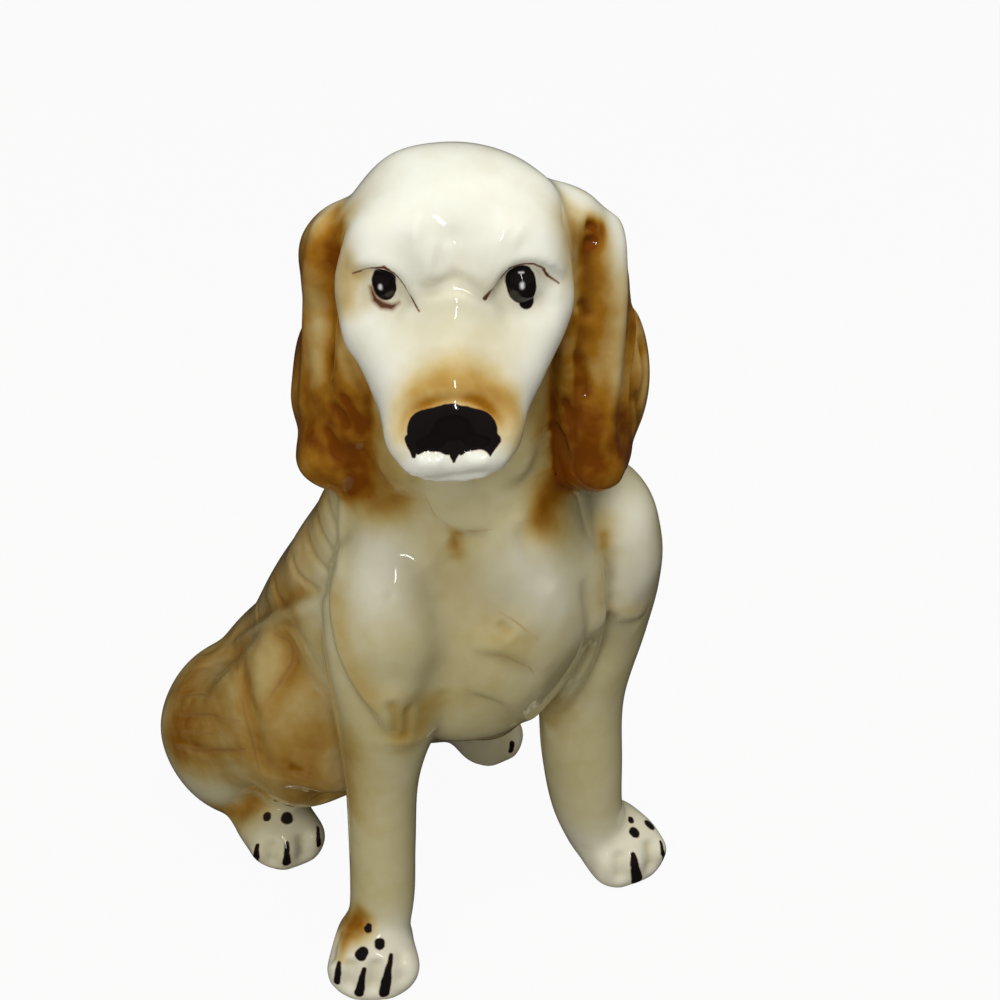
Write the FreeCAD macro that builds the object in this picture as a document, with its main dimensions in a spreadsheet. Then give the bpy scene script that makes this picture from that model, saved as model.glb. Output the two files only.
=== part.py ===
import FreeCAD, Part
import math
import os

# A hollow seated dog in glazed ceramic, cast in slip as separate castings that
# are stuck together before the firing. The dog faces -Y, its left is +X and it
# sits on Z = 0. Lengths are in millimetres and angles in degrees.
sizes = (
    # Trunk casting, from the rump up to the neck
    ("NeckHeight", 134), ("TrunkReach", 61), ("TrunkWidth", 60), ("TrunkDepth", 52),
    ("CastingWall", 3.6), ("AirHoleDiameter", 5), ("VentDiameter", 4),
    # Head casting, turned to the dog's right
    ("HeadLift", 22), ("HeadForward", 4), ("HeadAside", 1), ("HeadTurnAngle", 32),
    ("HeadWidth", 42), ("SkullHeight", 39), ("SkullLength", 36), ("NeckBoreDiameter", 19),
    ("MuzzleLength", 21), ("MuzzleWidth", 25), ("MuzzleDepth", 22), ("MuzzleDrop", 15),
    ("NoseWidth", 15.5), ("NoseHeight", 9), ("NoseDepth", 7), ("NoseLookUpAngle", 25),
    ("EyeDiameter", 8), ("EyeSpread", 23), ("EyeForward", 14.5), ("EyeLift", 2),
    # Ears
    ("EarLength", 54), ("EarWidth", 25), ("EarThickness", 11), ("EarFlareAngle", 24),
    ("RightEarSpread", 22.5), ("LeftEarSpread", 26), ("RightEarLift", 0), ("LeftEarLift", 6),
    ("RightFeatherSpread", 24.5), ("LeftFeatherSpread", 28.5),
    # Forelegs with their shoulders
    ("ShoulderHeight", 106), ("ShoulderForward", 5),
    ("RightShoulderWidth", 28), ("RightShoulderDepth", 29), ("RightShoulderOut", 16),
    ("LeftShoulderWidth", 34), ("LeftShoulderDepth", 31), ("LeftShoulderOut", 26.5),
    ("RightShankWidth", 14), ("RightShankDepth", 15.5), ("LeftShankWidth", 17), ("LeftShankDepth", 20),
    ("RightPawOut", 30), ("RightPawForward", 14), ("RightPawTurnAngle", 32),
    ("LeftPawOut", 33), ("LeftPawForward", 14.5), ("LeftPawTurnAngle", 5),
    ("PawLength", 22), ("PawWidth", 18.5), ("PawHeight", 14),
    # Haunches and hind paws
    ("HaunchBehind", 14), ("HaunchWidth", 43), ("HaunchHeight", 68), ("HaunchFront", 8),
    ("RightHaunchOut", 26), ("LeftHaunchOut", 21),
    ("HindPawLength", 36), ("HindPawWidth", 18), ("HindPawHeight", 14),
    ("RightHindPawOut", 31), ("LeftHindPawOut", 28),
    # Tail, curled round the left haunch
    ("TailReach", 50), ("TailSweep", 21), ("TailWidth", 15), ("TailUnder", 11), ("TailRootAside", 8),
    # Cutting blocks: how far they reach, and how far a cut runs past a face
    ("BlockSpan", 300), ("CutOverrun", 2), ("MeshTolerance", 0.1),
    # Furrows modelled into the chest, the flanks and the haunches
    ("FurrowWidth", 6.5), ("FurrowDepth", 1.9), ("FurrowRise", 3),
)

doc = FreeCAD.newDocument("SeatedDog")
sheet = doc.addObject("Spreadsheet::Sheet", "Sizes")
for row, (alias, value) in enumerate(sizes, start=1):
    sheet.set(f"A{row}", alias)
    sheet.set(f"B{row}", str(value))
    sheet.setAlias(f"B{row}", alias)
doc.recompute()

Vector = FreeCAD.Vector
right = Vector(1, 0, 0)
front = Vector(0, -1, 0)
upright = Vector(0, 0, 1)
ring_points = 8


def size(alias):
    return float(sheet.get(alias))


def turned(vector, degrees):
    return FreeCAD.Rotation(upright, degrees).multVec(vector)


# One ring: a closed smooth oval at centre, square to normal. Half is its half
# width along across, and over and under are its depths to either side. Inset
# draws it in by the thickness of a wall.
def ring_curve(centre, normal, across, half, over, under, inset):
    normal = Vector(normal).normalize()
    across = (across - normal * across.dot(normal)).normalize()
    rising = normal.cross(across)
    points = []
    for step in range(ring_points):
        angle = 2 * math.pi * step / ring_points
        depth = over if math.sin(angle) > 0 else under
        aside = across * (math.cos(angle) * (half - inset))
        rise = rising * (math.sin(angle) * (depth - inset))
        points.append(centre + aside + rise)
    curve = Part.BSplineCurve()
    steps = [float(step) for step in range(ring_points + 1)]
    curve.interpolate(Points=points, PeriodicFlag=True, Parameters=steps)
    return curve


# A smooth closed form through the rings of one casting. Each pole of the rings
# is carried along by one curve, the skin these make is cut into four patches,
# and both ends are closed flat.
def form(name, rings, inset=0.0):
    ovals = [ring_curve(*station, inset) for station in rings]
    along = [0.0]
    for station, following in zip(rings, rings[1:]):
        along.append(along[-1] + (following[0] - station[0]).Length)
    courses = []
    for poles in zip(*[oval.getPoles() for oval in ovals]):
        course = Part.BSplineCurve()
        course.interpolate(Points=list(poles), Parameters=along)
        courses.append(course)
    skin = Part.BSplineSurface()
    skin.buildFromPolesMultsKnots(
        [course.getPoles() for course in courses], ovals[0].getMultiplicities(),
        courses[0].getMultiplicities(), ovals[0].getKnots(), courses[0].getKnots(),
        True, False, ovals[0].Degree, courses[0].Degree)
    patches = []
    quarter = ring_points // 4
    for first in range(0, ring_points, quarter):
        patch = skin.copy()
        patch.segment(first, first + quarter, along[0], along[-1])
        patches.append(patch)
    faces = [patch.toShape() for patch in patches]
    for end in (along[0], along[-1]):
        rim = [patch.vIso(end).toShape() for patch in patches]
        faces.append(Part.Face(Part.Wire(Part.sortEdges(rim)[0])))
    shell = Part.Shell(faces)
    shell.sewShape()
    feature = doc.addObject("Part::Feature", name)
    feature.Shape = Part.Solid(shell)
    if feature.Shape.Volume < 0:
        feature.Shape = feature.Shape.reversed()
    return feature


# A place on the outside of a form: how many rings on, and the angle round them
def on_rings(rings, place, angle):
    number = min(int(place), len(rings) - 2)
    spots = []
    for centre, normal, across, half, over, under in rings[number:number + 2]:
        normal = Vector(normal).normalize()
        across = (across - normal * across.dot(normal)).normalize()
        aside, rise = math.cos(math.radians(angle)), math.sin(math.radians(angle))
        outward = across * (aside * half) + normal.cross(across) * (rise * (over if rise > 0 else under))
        spots.append((centre + outward, outward))
    share = place - number
    return [a * (1 - share) + b * share for a, b in zip(*spots)]


# The tool for a furrow that runs through places on a form and fades at its ends
furrow_end_share = 0.45


def furrow(name, rings, places):
    spots = [on_rings(rings, *place) for place in places]
    stations = []
    for number, (spot, outward) in enumerate(spots):
        before, after = spots[max(number - 1, 0)][0], spots[min(number + 1, len(spots) - 1)][0]
        along = (after - before).normalize()
        share = furrow_end_share if number in (0, len(spots) - 1) else 1
        half, depth = share * size("FurrowWidth") / 2, share * size("FurrowDepth")
        stations.append((spot, along, along.cross(outward), half, depth, size("FurrowRise")))
    return form(name, stations)


def fused(name, *members):
    feature = doc.addObject("Part::MultiFuse", name)
    feature.Shapes = list(members)
    return feature


# One cut after another; the last one has the name
def cut(name, base, *tools):
    for tool in tools:
        feature = doc.addObject("Part::Cut", name if tool is tools[-1] else f"{name}Less{tool.Name}")
        feature.Base, feature.Tool = base, tool
        base = feature
    return base


# A square block under the dog, up to the height given by an expression
def block(name, level):
    feature = doc.addObject("Part::Box", name)
    for side in ("Length", "Width", "Height"):
        feature.setExpression(side, "Sizes.BlockSpan")
    feature.setExpression("Placement.Base.x", "-Sizes.BlockSpan / 2")
    feature.setExpression("Placement.Base.y", "-Sizes.BlockSpan / 2")
    feature.setExpression("Placement.Base.z", f"{level} - Sizes.BlockSpan")
    return feature


def bore(name, diameter, length, place, axis):
    feature = doc.addObject("Part::Cylinder", name)
    feature.setExpression("Radius", f"{diameter} / 2")
    feature.setExpression("Height", length)
    feature.Placement.Rotation = FreeCAD.Rotation(upright, axis)
    for letter, expression in zip("xyz", place):
        feature.setExpression(f"Placement.Base.{letter}", expression)
    return feature


ground = block("Ground", "0")
floor = block("CastingFloor", "Sizes.CastingWall")

# Trunk
# Columns: aside and back of the neck, height, half width, back depth, belly
# depth, as shares of the trunk's width, reach, neck height, width, depth and
# depth; then the lean of the ring, in degrees.
trunk_shares = (
    (-0.08, 1.00, -0.03, 0.40, 0.33, 0.33, 0),
    (-0.08, 0.99, 0.03, 0.50, 0.42, 0.42, 0),
    (-0.07, 0.96, 0.10, 0.54, 0.45, 0.47, 8),
    (-0.06, 0.89, 0.20, 0.53, 0.43, 0.51, 18),
    (-0.03, 0.73, 0.33, 0.47, 0.35, 0.52, 27),
    (0.00, 0.51, 0.46, 0.48, 0.39, 0.69, 31),
    (0.03, 0.28, 0.58, 0.50, 0.43, 0.82, 27),
    (0.06, 0.13, 0.69, 0.48, 0.44, 0.71, 19),
    (0.05, 0.05, 0.79, 0.42, 0.41, 0.56, 14),
    (0.04, 0.02, 0.90, 0.37, 0.37, 0.42, 8),
    (0.04, 0.00, 1.01, 0.34, 0.34, 0.37, 5),
    (0.03, -0.02, 1.10, 0.28, 0.24, 0.30, 0),
)
# Furrows of the trunk: how many rings on, and the angle in degrees
trunk_furrows = {
    "Breast": ((7.7, 215), (7.35, 225), (6.95, 230), (6.4, 231), (5.9, 237)),
    "Throat": ((8.4, 230), (7.95, 236), (7.6, 245), (7.3, 254)),
    "RightFlank": ((5.1, 122), (5.6, 143), (6.0, 162), (6.2, 176)),
    "LeftFlank": ((5.1, 58), (5.6, 37), (6.0, 18), (6.2, 4)),
}


def trunk_rings():
    width, depth = size("TrunkWidth"), size("TrunkDepth")
    rings = []
    for aside, back, height, half, spine, belly, lean in trunk_shares:
        centre = Vector(aside * width, back * size("TrunkReach"), height * size("NeckHeight"))
        normal = FreeCAD.Rotation(right, lean).multVec(upright)
        rings.append((centre, normal, right, half * width, spine * depth, belly * depth))
    return rings


seat_aside_share = trunk_shares[0][0]
trunk_form = form("TrunkForm", trunk_rings())
trunk_hollow = cut("TrunkHollow", form("TrunkCore", trunk_rings(), size("CastingWall")), floor)
air_hole = bore(
    "AirHole", "Sizes.AirHoleDiameter", "Sizes.CastingWall + 2 * Sizes.CutOverrun",
    (f"{seat_aside_share} * Sizes.TrunkWidth", "Sizes.TrunkReach", "-Sizes.CutOverrun"), upright)

# Head
# Columns: forward, up, half width, depth over, depth under, as shares of
# skull length, skull height, head width, skull height and skull height.
skull_shares = (
    (-0.55, -0.05, 0.19, 0.18, 0.18),
    (-0.44, -0.03, 0.37, 0.37, 0.36),
    (-0.19, 0.00, 0.49, 0.50, 0.48),
    (0.08, 0.00, 0.51, 0.51, 0.50),
    (0.33, -0.06, 0.48, 0.46, 0.41),
)
# Columns: forward and down from the last skull ring, half width, half depth,
# as shares of muzzle length, drop, width and depth; then how far the ring
# looks up, in degrees.
muzzle_shares = (
    (0.28, 0.42, 0.66, 0.59, 10),
    (0.56, 0.74, 0.54, 0.50, 15),
    (0.84, 0.90, 0.46, 0.47, 15),
    (1.00, 1.00, 0.38, 0.39, 15),
    (1.08, 1.02, 0.24, 0.24, 15),
)
nose_lift_share = 0.25

head_centre = Vector(-size("HeadAside"), -size("HeadForward"), size("NeckHeight") + size("HeadLift"))
face_forward = turned(front, -size("HeadTurnAngle"))
face_across = turned(right, -size("HeadTurnAngle"))


def head_point(forward, aside, up):
    return head_centre + face_forward * forward + face_across * aside + upright * up


# Where the muzzle starts: forward and up from the middle of the head
muzzle_root = (skull_shares[-1][0] * size("SkullLength"), skull_shares[-1][1] * size("SkullHeight"))


def head_rings():
    width, height = size("HeadWidth"), size("SkullHeight")
    rings = []
    for forward, up, half, over, under in skull_shares:
        centre = head_point(forward * size("SkullLength"), 0, up * height)
        rings.append((centre, face_forward, -face_across, half * width, under * height, over * height))
    for forward, drop, half, half_depth, look_up in muzzle_shares:
        ahead = muzzle_root[0] + forward * size("MuzzleLength")
        centre = head_point(ahead, 0, muzzle_root[1] - drop * size("MuzzleDrop"))
        normal = FreeCAD.Rotation(face_across, -look_up).multVec(face_forward)
        depth = half_depth * size("MuzzleDepth")
        rings.append((centre, normal, -face_across, half * size("MuzzleWidth"), depth, depth))
    return rings


def nose_pad():
    feature = doc.addObject("Part::Ellipsoid", "NosePad")
    feature.setExpression("Radius1", "Sizes.NoseHeight / 2")
    feature.setExpression("Radius2", "Sizes.NoseWidth / 2")
    feature.setExpression("Radius3", "Sizes.NoseDepth / 2")
    place = head_point(muzzle_root[0] + size("MuzzleLength"), 0,
                       muzzle_root[1] - size("MuzzleDrop") + nose_lift_share * size("MuzzleDepth"))
    turn = FreeCAD.Rotation(upright, -size("HeadTurnAngle"))
    feature.Placement = FreeCAD.Placement(place, turn * FreeCAD.Rotation(right, -size("NoseLookUpAngle")))
    return feature


def eyeball(name, side):
    feature = doc.addObject("Part::Sphere", name)
    feature.setExpression("Radius", "Sizes.EyeDiameter / 2")
    feature.Placement.Base = head_point(size("EyeForward"), side * size("EyeSpread") / 2, size("EyeLift"))
    return feature


head_form = form("HeadForm", head_rings())
head_hollow = form("HeadHollow", head_rings()[1:-2], size("CastingWall"))
neck_bore = bore(
    "NeckBore", "Sizes.NeckBoreDiameter", "Sizes.HeadLift + Sizes.CutOverrun",
    ("0", "0", "Sizes.NeckHeight - Sizes.CutOverrun"), upright)

# Forelegs
# Columns: height, out, forward, half width, half depth, as shares of shoulder
# height, the way out to the paw, the way forward to it, and the width and
# depth of the shoulder or, on the last rings, of the shank.
shoulder_shares = (
    (1.00, 0.00, 0.00, 0.20, 0.21),
    (0.95, 0.00, 0.06, 0.37, 0.37),
    (0.85, 0.05, 0.12, 0.49, 0.50),
    (0.73, 0.12, 0.12, 0.50, 0.50),
    (0.62, 0.25, 0.15, 0.41, 0.43),
)
shank_shares = {
    "Right": (
        (0.45, 0.46, 0.25, 0.55, 0.56),
        (0.28, 0.57, 0.42, 0.50, 0.50),
        (0.13, 0.70, 0.62, 0.48, 0.49),
        (0.03, 0.90, 0.78, 0.42, 0.44),
    ),
    "Left": (
        (0.45, 0.14, 0.20, 0.54, 0.54),
        (0.28, 0.12, 0.36, 0.51, 0.51),
        (0.13, 0.26, 0.58, 0.45, 0.46),
        (0.03, 0.72, 0.76, 0.42, 0.44),
    ),
}
# Columns: along the paw from its heel, half width, top, as shares of the
# paw's length, width and height.
paw_shares = (
    (0.00, 0.22, 0.45),
    (0.12, 0.38, 0.75),
    (0.40, 0.47, 1.00),
    (0.70, 0.50, 0.88),
    (0.92, 0.42, 0.64),
    (1.00, 0.24, 0.38),
)
paw_heart_share = 0.35
paw_sink_share = 0.50


def foreleg_rings(name, side):
    start = size("ShoulderForward")
    reach = size(name + "PawForward") - start
    top_out = size(name + "ShoulderOut")
    splay = size(name + "PawOut") - top_out
    rows = [(row, size(name + "ShoulderWidth"), size(name + "ShoulderDepth")) for row in shoulder_shares]
    rows += [(row, size(name + "ShankWidth"), size(name + "ShankDepth")) for row in shank_shares[name]]
    rings = []
    for (height, out, forward, half, half_depth), width, depth in rows:
        aside = side * (top_out + out * splay)
        centre = Vector(aside, -(start + forward * reach), height * size("ShoulderHeight"))
        rings.append((centre, upright, right, half * width, half_depth * depth, half_depth * depth))
    return rings


# A paw on the ground, its middle at aside and back, turned from the front
def paw_rings(aside, back, length, width, height, turn):
    forward, across = turned(front, turn), turned(right, turn)
    heel = Vector(aside, back, 0) - forward * (length / 2)
    rings = []
    for along, half, top in paw_shares:
        rise = top * height
        centre = heel + forward * (along * length) + upright * (paw_heart_share * rise)
        over = (1 - paw_heart_share) * rise
        rings.append((centre, forward, across, half * width, over, paw_sink_share * rise))
    return rings


def foreleg(name, side):
    rings = foreleg_rings(name, side)
    paw = paw_rings(side * size(name + "PawOut"), -size(name + "PawForward"), size("PawLength"),
                    size("PawWidth"), size("PawHeight"), -size(name + "PawTurnAngle"))
    return fused(name + "LegForm", form(name + "Limb", rings), form(name + "Paw", paw))


right_leg = foreleg("Right", -1)
left_leg = foreleg("Left", 1)

# Haunches
# Columns: along from the front, out, height, half width, depth over, depth
# under, as shares of haunch length, way out, height, width, height, height.
haunch_shares = (
    (0.00, 0.90, 0.57, 0.10, 0.11, 0.10),
    (0.04, 0.90, 0.57, 0.21, 0.23, 0.20),
    (0.12, 0.92, 0.57, 0.31, 0.35, 0.28),
    (0.24, 0.96, 0.55, 0.37, 0.42, 0.33),
    (0.38, 1.01, 0.49, 0.40, 0.39, 0.36),
    (0.50, 1.06, 0.40, 0.44, 0.32, 0.42),
    (0.63, 1.07, 0.34, 0.48, 0.29, 0.42),
    (0.77, 1.04, 0.31, 0.47, 0.26, 0.39),
    (0.92, 0.97, 0.28, 0.34, 0.19, 0.32),
    (1.00, 0.92, 0.24, 0.16, 0.09, 0.16),
)


def haunch_length():
    return size("TrunkReach") + size("HaunchBehind") - size("HaunchFront")


def haunch_rings(name, side):
    rings = []
    for along, out, height, half, over, under in haunch_shares:
        back = size("HaunchFront") + along * haunch_length()
        centre = Vector(side * out * size(name + "HaunchOut"), back, height * size("HaunchHeight"))
        rings.append((centre, front, right, half * size("HaunchWidth"),
                      over * size("HaunchHeight"), under * size("HaunchHeight")))
    return rings


# The hollow of a haunch is open towards the trunk and leaves the casting's
# wall on the other sides. Its middle is a share of the haunch's length and
# height, and its radii are shares of the haunch's height, width and length.
hollow_middle_share = 0.48
hollow_level_share = 0.35
hollow_shares = (0.33, 0.39, 0.36)
haunch_run = "(Sizes.TrunkReach + Sizes.HaunchBehind - Sizes.HaunchFront)"
haunch_middle = f"Sizes.HaunchFront + {hollow_middle_share} * {haunch_run}"
haunch_level = f"{hollow_level_share} * Sizes.HaunchHeight"


def haunch_hollow(name, aside):
    feature = doc.addObject("Part::Ellipsoid", name)
    spans = ("Sizes.HaunchHeight", "Sizes.HaunchWidth", haunch_run)
    for number, (share, span) in enumerate(zip(hollow_shares, spans), start=1):
        feature.setExpression(f"Radius{number}", f"{share} * {span} - Sizes.CastingWall")
    for letter, expression in zip("xyz", (aside, haunch_middle, haunch_level)):
        feature.setExpression(f"Placement.Base.{letter}", expression)
    return feature


right_haunch = form("RightHaunchForm", haunch_rings("Right", -1))
left_haunch = form("LeftHaunchForm", haunch_rings("Left", 1))
right_haunch_hollow = haunch_hollow("RightHaunchHollow", "-Sizes.RightHaunchOut")
left_haunch_hollow = haunch_hollow("LeftHaunchHollow", "Sizes.LeftHaunchOut")
haunch_furrows = {
    "Crease": ((4.2, 116), (3.33, 140), (2.67, 160), (2.18, 175), (2.0, 192)),
    "Stifle": ((2.95, 100), (2.4, 105), (2.13, 115), (2.09, 130), (2.31, 150)),
    "Lock": ((5.9, 170), (4.76, 175), (3.7, 178), (2.8, 176)),
}


# The left haunch has the mirror image of the right one's furrows
def furrowed(name, side, *tools):
    rings = haunch_rings(name, side)
    marks = []
    for mark, places in haunch_furrows.items():
        places = [(place, angle if side < 0 else 180 - angle) for place, angle in places]
        marks.append(furrow(name + mark, rings, places))
    return cut(name + "Haunch", *tools, *marks)


haunch_vents = bore("HaunchVents", "Sizes.VentDiameter", "Sizes.RightHaunchOut + Sizes.LeftHaunchOut",
                    ("-Sizes.RightHaunchOut", haunch_middle, haunch_level), right)


# How far back on the haunch the middle of each hind paw is
hind_paw_shares = {"Right": 0.45, "Left": 0.52}


def hind_paw(name, side):
    back = size("HaunchFront") + hind_paw_shares[name] * haunch_length()
    return form(name + "HindPawForm", paw_rings(
        side * size(name + "HindPawOut"), back, size("HindPawLength"),
        size("HindPawWidth"), size("HindPawHeight"), 0))


right_hind = hind_paw("Right", -1)
left_hind = hind_paw("Left", 1)

# Ears
# Columns: out, back, drop, half thickness, half width, as shares of ear
# spread, width, length, thickness and width.
ear_shares = (
    (0.60, 0.12, 0.03, 0.24, 0.16),
    (0.74, 0.12, 0.08, 0.38, 0.27),
    (0.87, 0.12, 0.17, 0.45, 0.36),
    (0.96, 0.12, 0.33, 0.47, 0.45),
    (0.97, 0.08, 0.58, 0.52, 0.50),
    (1.00, 0.04, 0.82, 0.55, 0.48),
    (1.03, 0.00, 0.96, 0.50, 0.38),
    (1.04, 0.00, 1.02, 0.28, 0.20),
)
ear_root_share = 0.22
# The feathered lobe behind the ear: the same columns, out as shares of the
# feather's spread.
feather_shares = (
    (0.98, 0.34, 0.42, 0.14, 0.16),
    (1.04, 0.36, 0.52, 0.28, 0.32),
    (1.10, 0.34, 0.70, 0.34, 0.42),
    (1.09, 0.28, 0.86, 0.36, 0.38),
    (1.03, 0.20, 0.96, 0.26, 0.26),
    (1.00, 0.18, 1.00, 0.14, 0.14),
)


def flap(name, side, table, spread, kind):
    lift = size(name + "EarLift")
    root = ear_root_share * size("SkullHeight") + lift
    across = turned(face_across, -side * size("EarFlareAngle"))
    rings = []
    for out, back, drop, half_thickness, half in table:
        centre = head_point(-back * size("EarWidth"), side * out * spread,
                            root - drop * (size("EarLength") + lift))
        breadth = half * size("EarWidth")
        rings.append((centre, -upright, across, half_thickness * size("EarThickness"), breadth, breadth))
    return form(name + kind, rings)


def ear(name, side):
    return fused(name + "EarForm",
                 flap(name, side, ear_shares, size(name + "EarSpread"), "Flap"),
                 flap(name, side, feather_shares, size(name + "FeatherSpread"), "Feather"))


right_ear = ear("Right", -1)
left_ear = ear("Left", 1)

# Tail
# Columns: along, back, height, half width, as shares of tail reach, sweep,
# width and width; then the heading of the ring, in degrees.
tail_shares = (
    (0.00, 0.50, 0.60, 0.40, 8),
    (0.24, 0.82, 0.50, 0.50, 14),
    (0.50, 0.84, 0.46, 0.48, -14),
    (0.76, 0.52, 0.40, 0.40, -42),
    (0.94, 0.10, 0.34, 0.28, -62),
    (0.98, -0.04, 0.30, 0.14, -66),
)


def tail():
    root = Vector(-size("TailRootAside"), size("TrunkReach") + size("HaunchBehind") - size("TailUnder"), 0)
    width = size("TailWidth")
    rings = []
    for along, back, height, half, heading in tail_shares:
        centre = root + Vector(along * size("TailReach"), back * size("TailSweep"), height * width)
        radius = half * width
        rings.append((centre, turned(right, heading), turned(front, heading), radius, radius, radius))
    return form("TailForm", rings)


tail_form = tail()

# The castings, each trimmed to its neighbours so that they meet face to face
chest_furrows = [furrow(mark, trunk_rings(), places) for mark, places in trunk_furrows.items()]
castings = {
    "trunk": cut("Trunk", trunk_form, head_form, trunk_hollow, ground, air_hole, haunch_vents, *chest_furrows),
    "head": cut("Head", fused("HeadRelief", head_form, nose_pad(), eyeball("RightEye", -1), eyeball("LeftEye", 1)),
                head_hollow, neck_bore),
    "right_ear": cut("RightEar", right_ear, head_form, trunk_form, right_leg),
    "left_ear": cut("LeftEar", left_ear, head_form, trunk_form, left_leg),
    "right_foreleg": cut("RightForeleg", right_leg, trunk_form, ground),
    "left_foreleg": cut("LeftForeleg", left_leg, trunk_form, ground),
    "right_haunch": furrowed("Right", -1, right_haunch, trunk_form, right_haunch_hollow, ground),
    "left_haunch": furrowed("Left", 1, left_haunch, trunk_form, left_haunch_hollow, ground),
    "right_hind_paw": cut("RightHindPaw", right_hind, right_haunch, trunk_form, ground),
    "left_hind_paw": cut("LeftHindPaw", left_hind, left_haunch, trunk_form, ground),
    "tail": cut("Tail", tail_form, trunk_form, left_haunch, ground),
}
doc.recompute()

# The origin is the middle of the dog's box, on the ground
box = FreeCAD.BoundBox()
for casting in castings.values():
    for point in casting.Shape.tessellate(size("MeshTolerance"))[0]:
        box.add(point)
standing = Vector(-box.Center.x, -box.Center.y, 0)
for label, casting in castings.items():
    casting.Label = label
    casting.Placement.Base = standing
doc.recompute()

for item in doc.Objects:
    if "Invalid" in item.State or "Error" in item.State:
        raise RuntimeError(f"{item.Name} failed: {item.State}")
os.makedirs("parts", exist_ok=True)
for label, casting in castings.items():
    shape = casting.Shape
    if shape.isNull() or not shape.isValid():
        raise RuntimeError(f"{label} has no valid shape")
    shape.exportStep(f"parts/{label}.step")
    print(label, "solids", len(shape.Solids), "volume", round(shape.Volume), "area", round(shape.Area))
print("box", round(box.XLength, 1), round(box.YLength, 1), round(box.ZLength, 1), "lowest", round(box.ZMin, 3))
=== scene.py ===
import bpy
import bmesh
import math
import numpy as np
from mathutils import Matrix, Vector
from mathutils.bvhtree import BVHTree
from mathutils.kdtree import KDTree


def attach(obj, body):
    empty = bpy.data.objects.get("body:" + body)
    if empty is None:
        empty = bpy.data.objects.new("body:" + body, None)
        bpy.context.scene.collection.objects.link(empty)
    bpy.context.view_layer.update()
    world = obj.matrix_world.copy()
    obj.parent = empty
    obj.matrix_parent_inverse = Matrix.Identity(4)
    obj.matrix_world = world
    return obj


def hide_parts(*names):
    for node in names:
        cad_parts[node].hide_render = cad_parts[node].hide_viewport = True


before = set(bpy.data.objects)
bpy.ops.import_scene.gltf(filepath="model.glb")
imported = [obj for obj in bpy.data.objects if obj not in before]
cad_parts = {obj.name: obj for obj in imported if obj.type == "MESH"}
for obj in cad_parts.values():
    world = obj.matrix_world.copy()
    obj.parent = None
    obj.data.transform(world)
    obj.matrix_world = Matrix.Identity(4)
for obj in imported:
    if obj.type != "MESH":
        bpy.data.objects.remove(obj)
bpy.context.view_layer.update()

# A seated, long-eared dog in glazed ceramic. Shapes are worked out in millimetres
# from the point under the neck, the dog facing -Y, and go into the meshes in metres.
mm = 0.001
standing = np.array([2.072, -26.177, 0.0])  # from under the neck to the middle of the box
right, forward, up = np.array([1.0, 0, 0]), np.array([0, -1.0, 0]), np.array([0, 0, 1.0])

look = {
    "azimuth": -32, "elevation": 33,  # where the photographer stands, in degrees
    "distance": 340, "aim": (14, 5, 95),
    "lens": 59.4, "sensor": 36, "frame": 1000,
}


def unit(a):
    return a / np.maximum(np.linalg.norm(a, axis=-1, keepdims=True), 1e-9)


def turned(a, degrees):  # turned about the upright axis
    c, s = math.cos(math.radians(degrees)), math.sin(math.radians(degrees))
    return np.array([c * a[0] - s * a[1], s * a[0] + c * a[1], a[2]])


def leaned(a, axis, degrees):  # turned about any axis
    t = math.radians(degrees)
    axis = unit(np.array(axis, float))
    return a * math.cos(t) + np.cross(axis, a) * math.sin(t) + axis * (axis @ a) * (1 - math.cos(t))


# The camera's own axes, and where it stands
az, el = math.radians(look["azimuth"]), math.radians(look["elevation"])
towards = np.array([-math.sin(az) * math.cos(el), math.cos(az) * math.cos(el), -math.sin(el)])
camRight = unit(np.cross(towards, up))
camUp = np.cross(camRight, towards)
camPlace = np.array(look["aim"], float) - towards * look["distance"]
focal = look["lens"] / look["sensor"] * look["frame"]


def pixelRay(x, y):
    half = look["frame"] / 2
    return camPlace, unit(towards * focal + camRight * (x - half) - camUp * (y - half))


# Rings: every column of the table runs on a cubic curve through its rows, by the
# length between their centres, and each ring is centre + across * half * cos +
# rising * depth * sin, with a depth of its own over and under.
def alongRows(rows, count):
    step = np.linalg.norm(np.diff(rows[:, :3], axis=0), axis=1)
    at = np.concatenate([[0], np.cumsum(step)])
    slope = np.gradient(rows, at, axis=0)
    u = np.linspace(0, at[-1], count)
    i = np.clip(np.searchsorted(at, u, side="right") - 1, 0, len(at) - 2)
    gap = (at[i + 1] - at[i])[:, None]
    t = (u - at[i])[:, None] / gap
    a, b = rows[i], rows[i + 1]
    return (a * (1 + 2 * t) * (1 - t) ** 2 + b * t * t * (3 - 2 * t)
            + slope[i] * gap * t * (1 - t) ** 2 - slope[i + 1] * gap * t * t * (1 - t))


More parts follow.
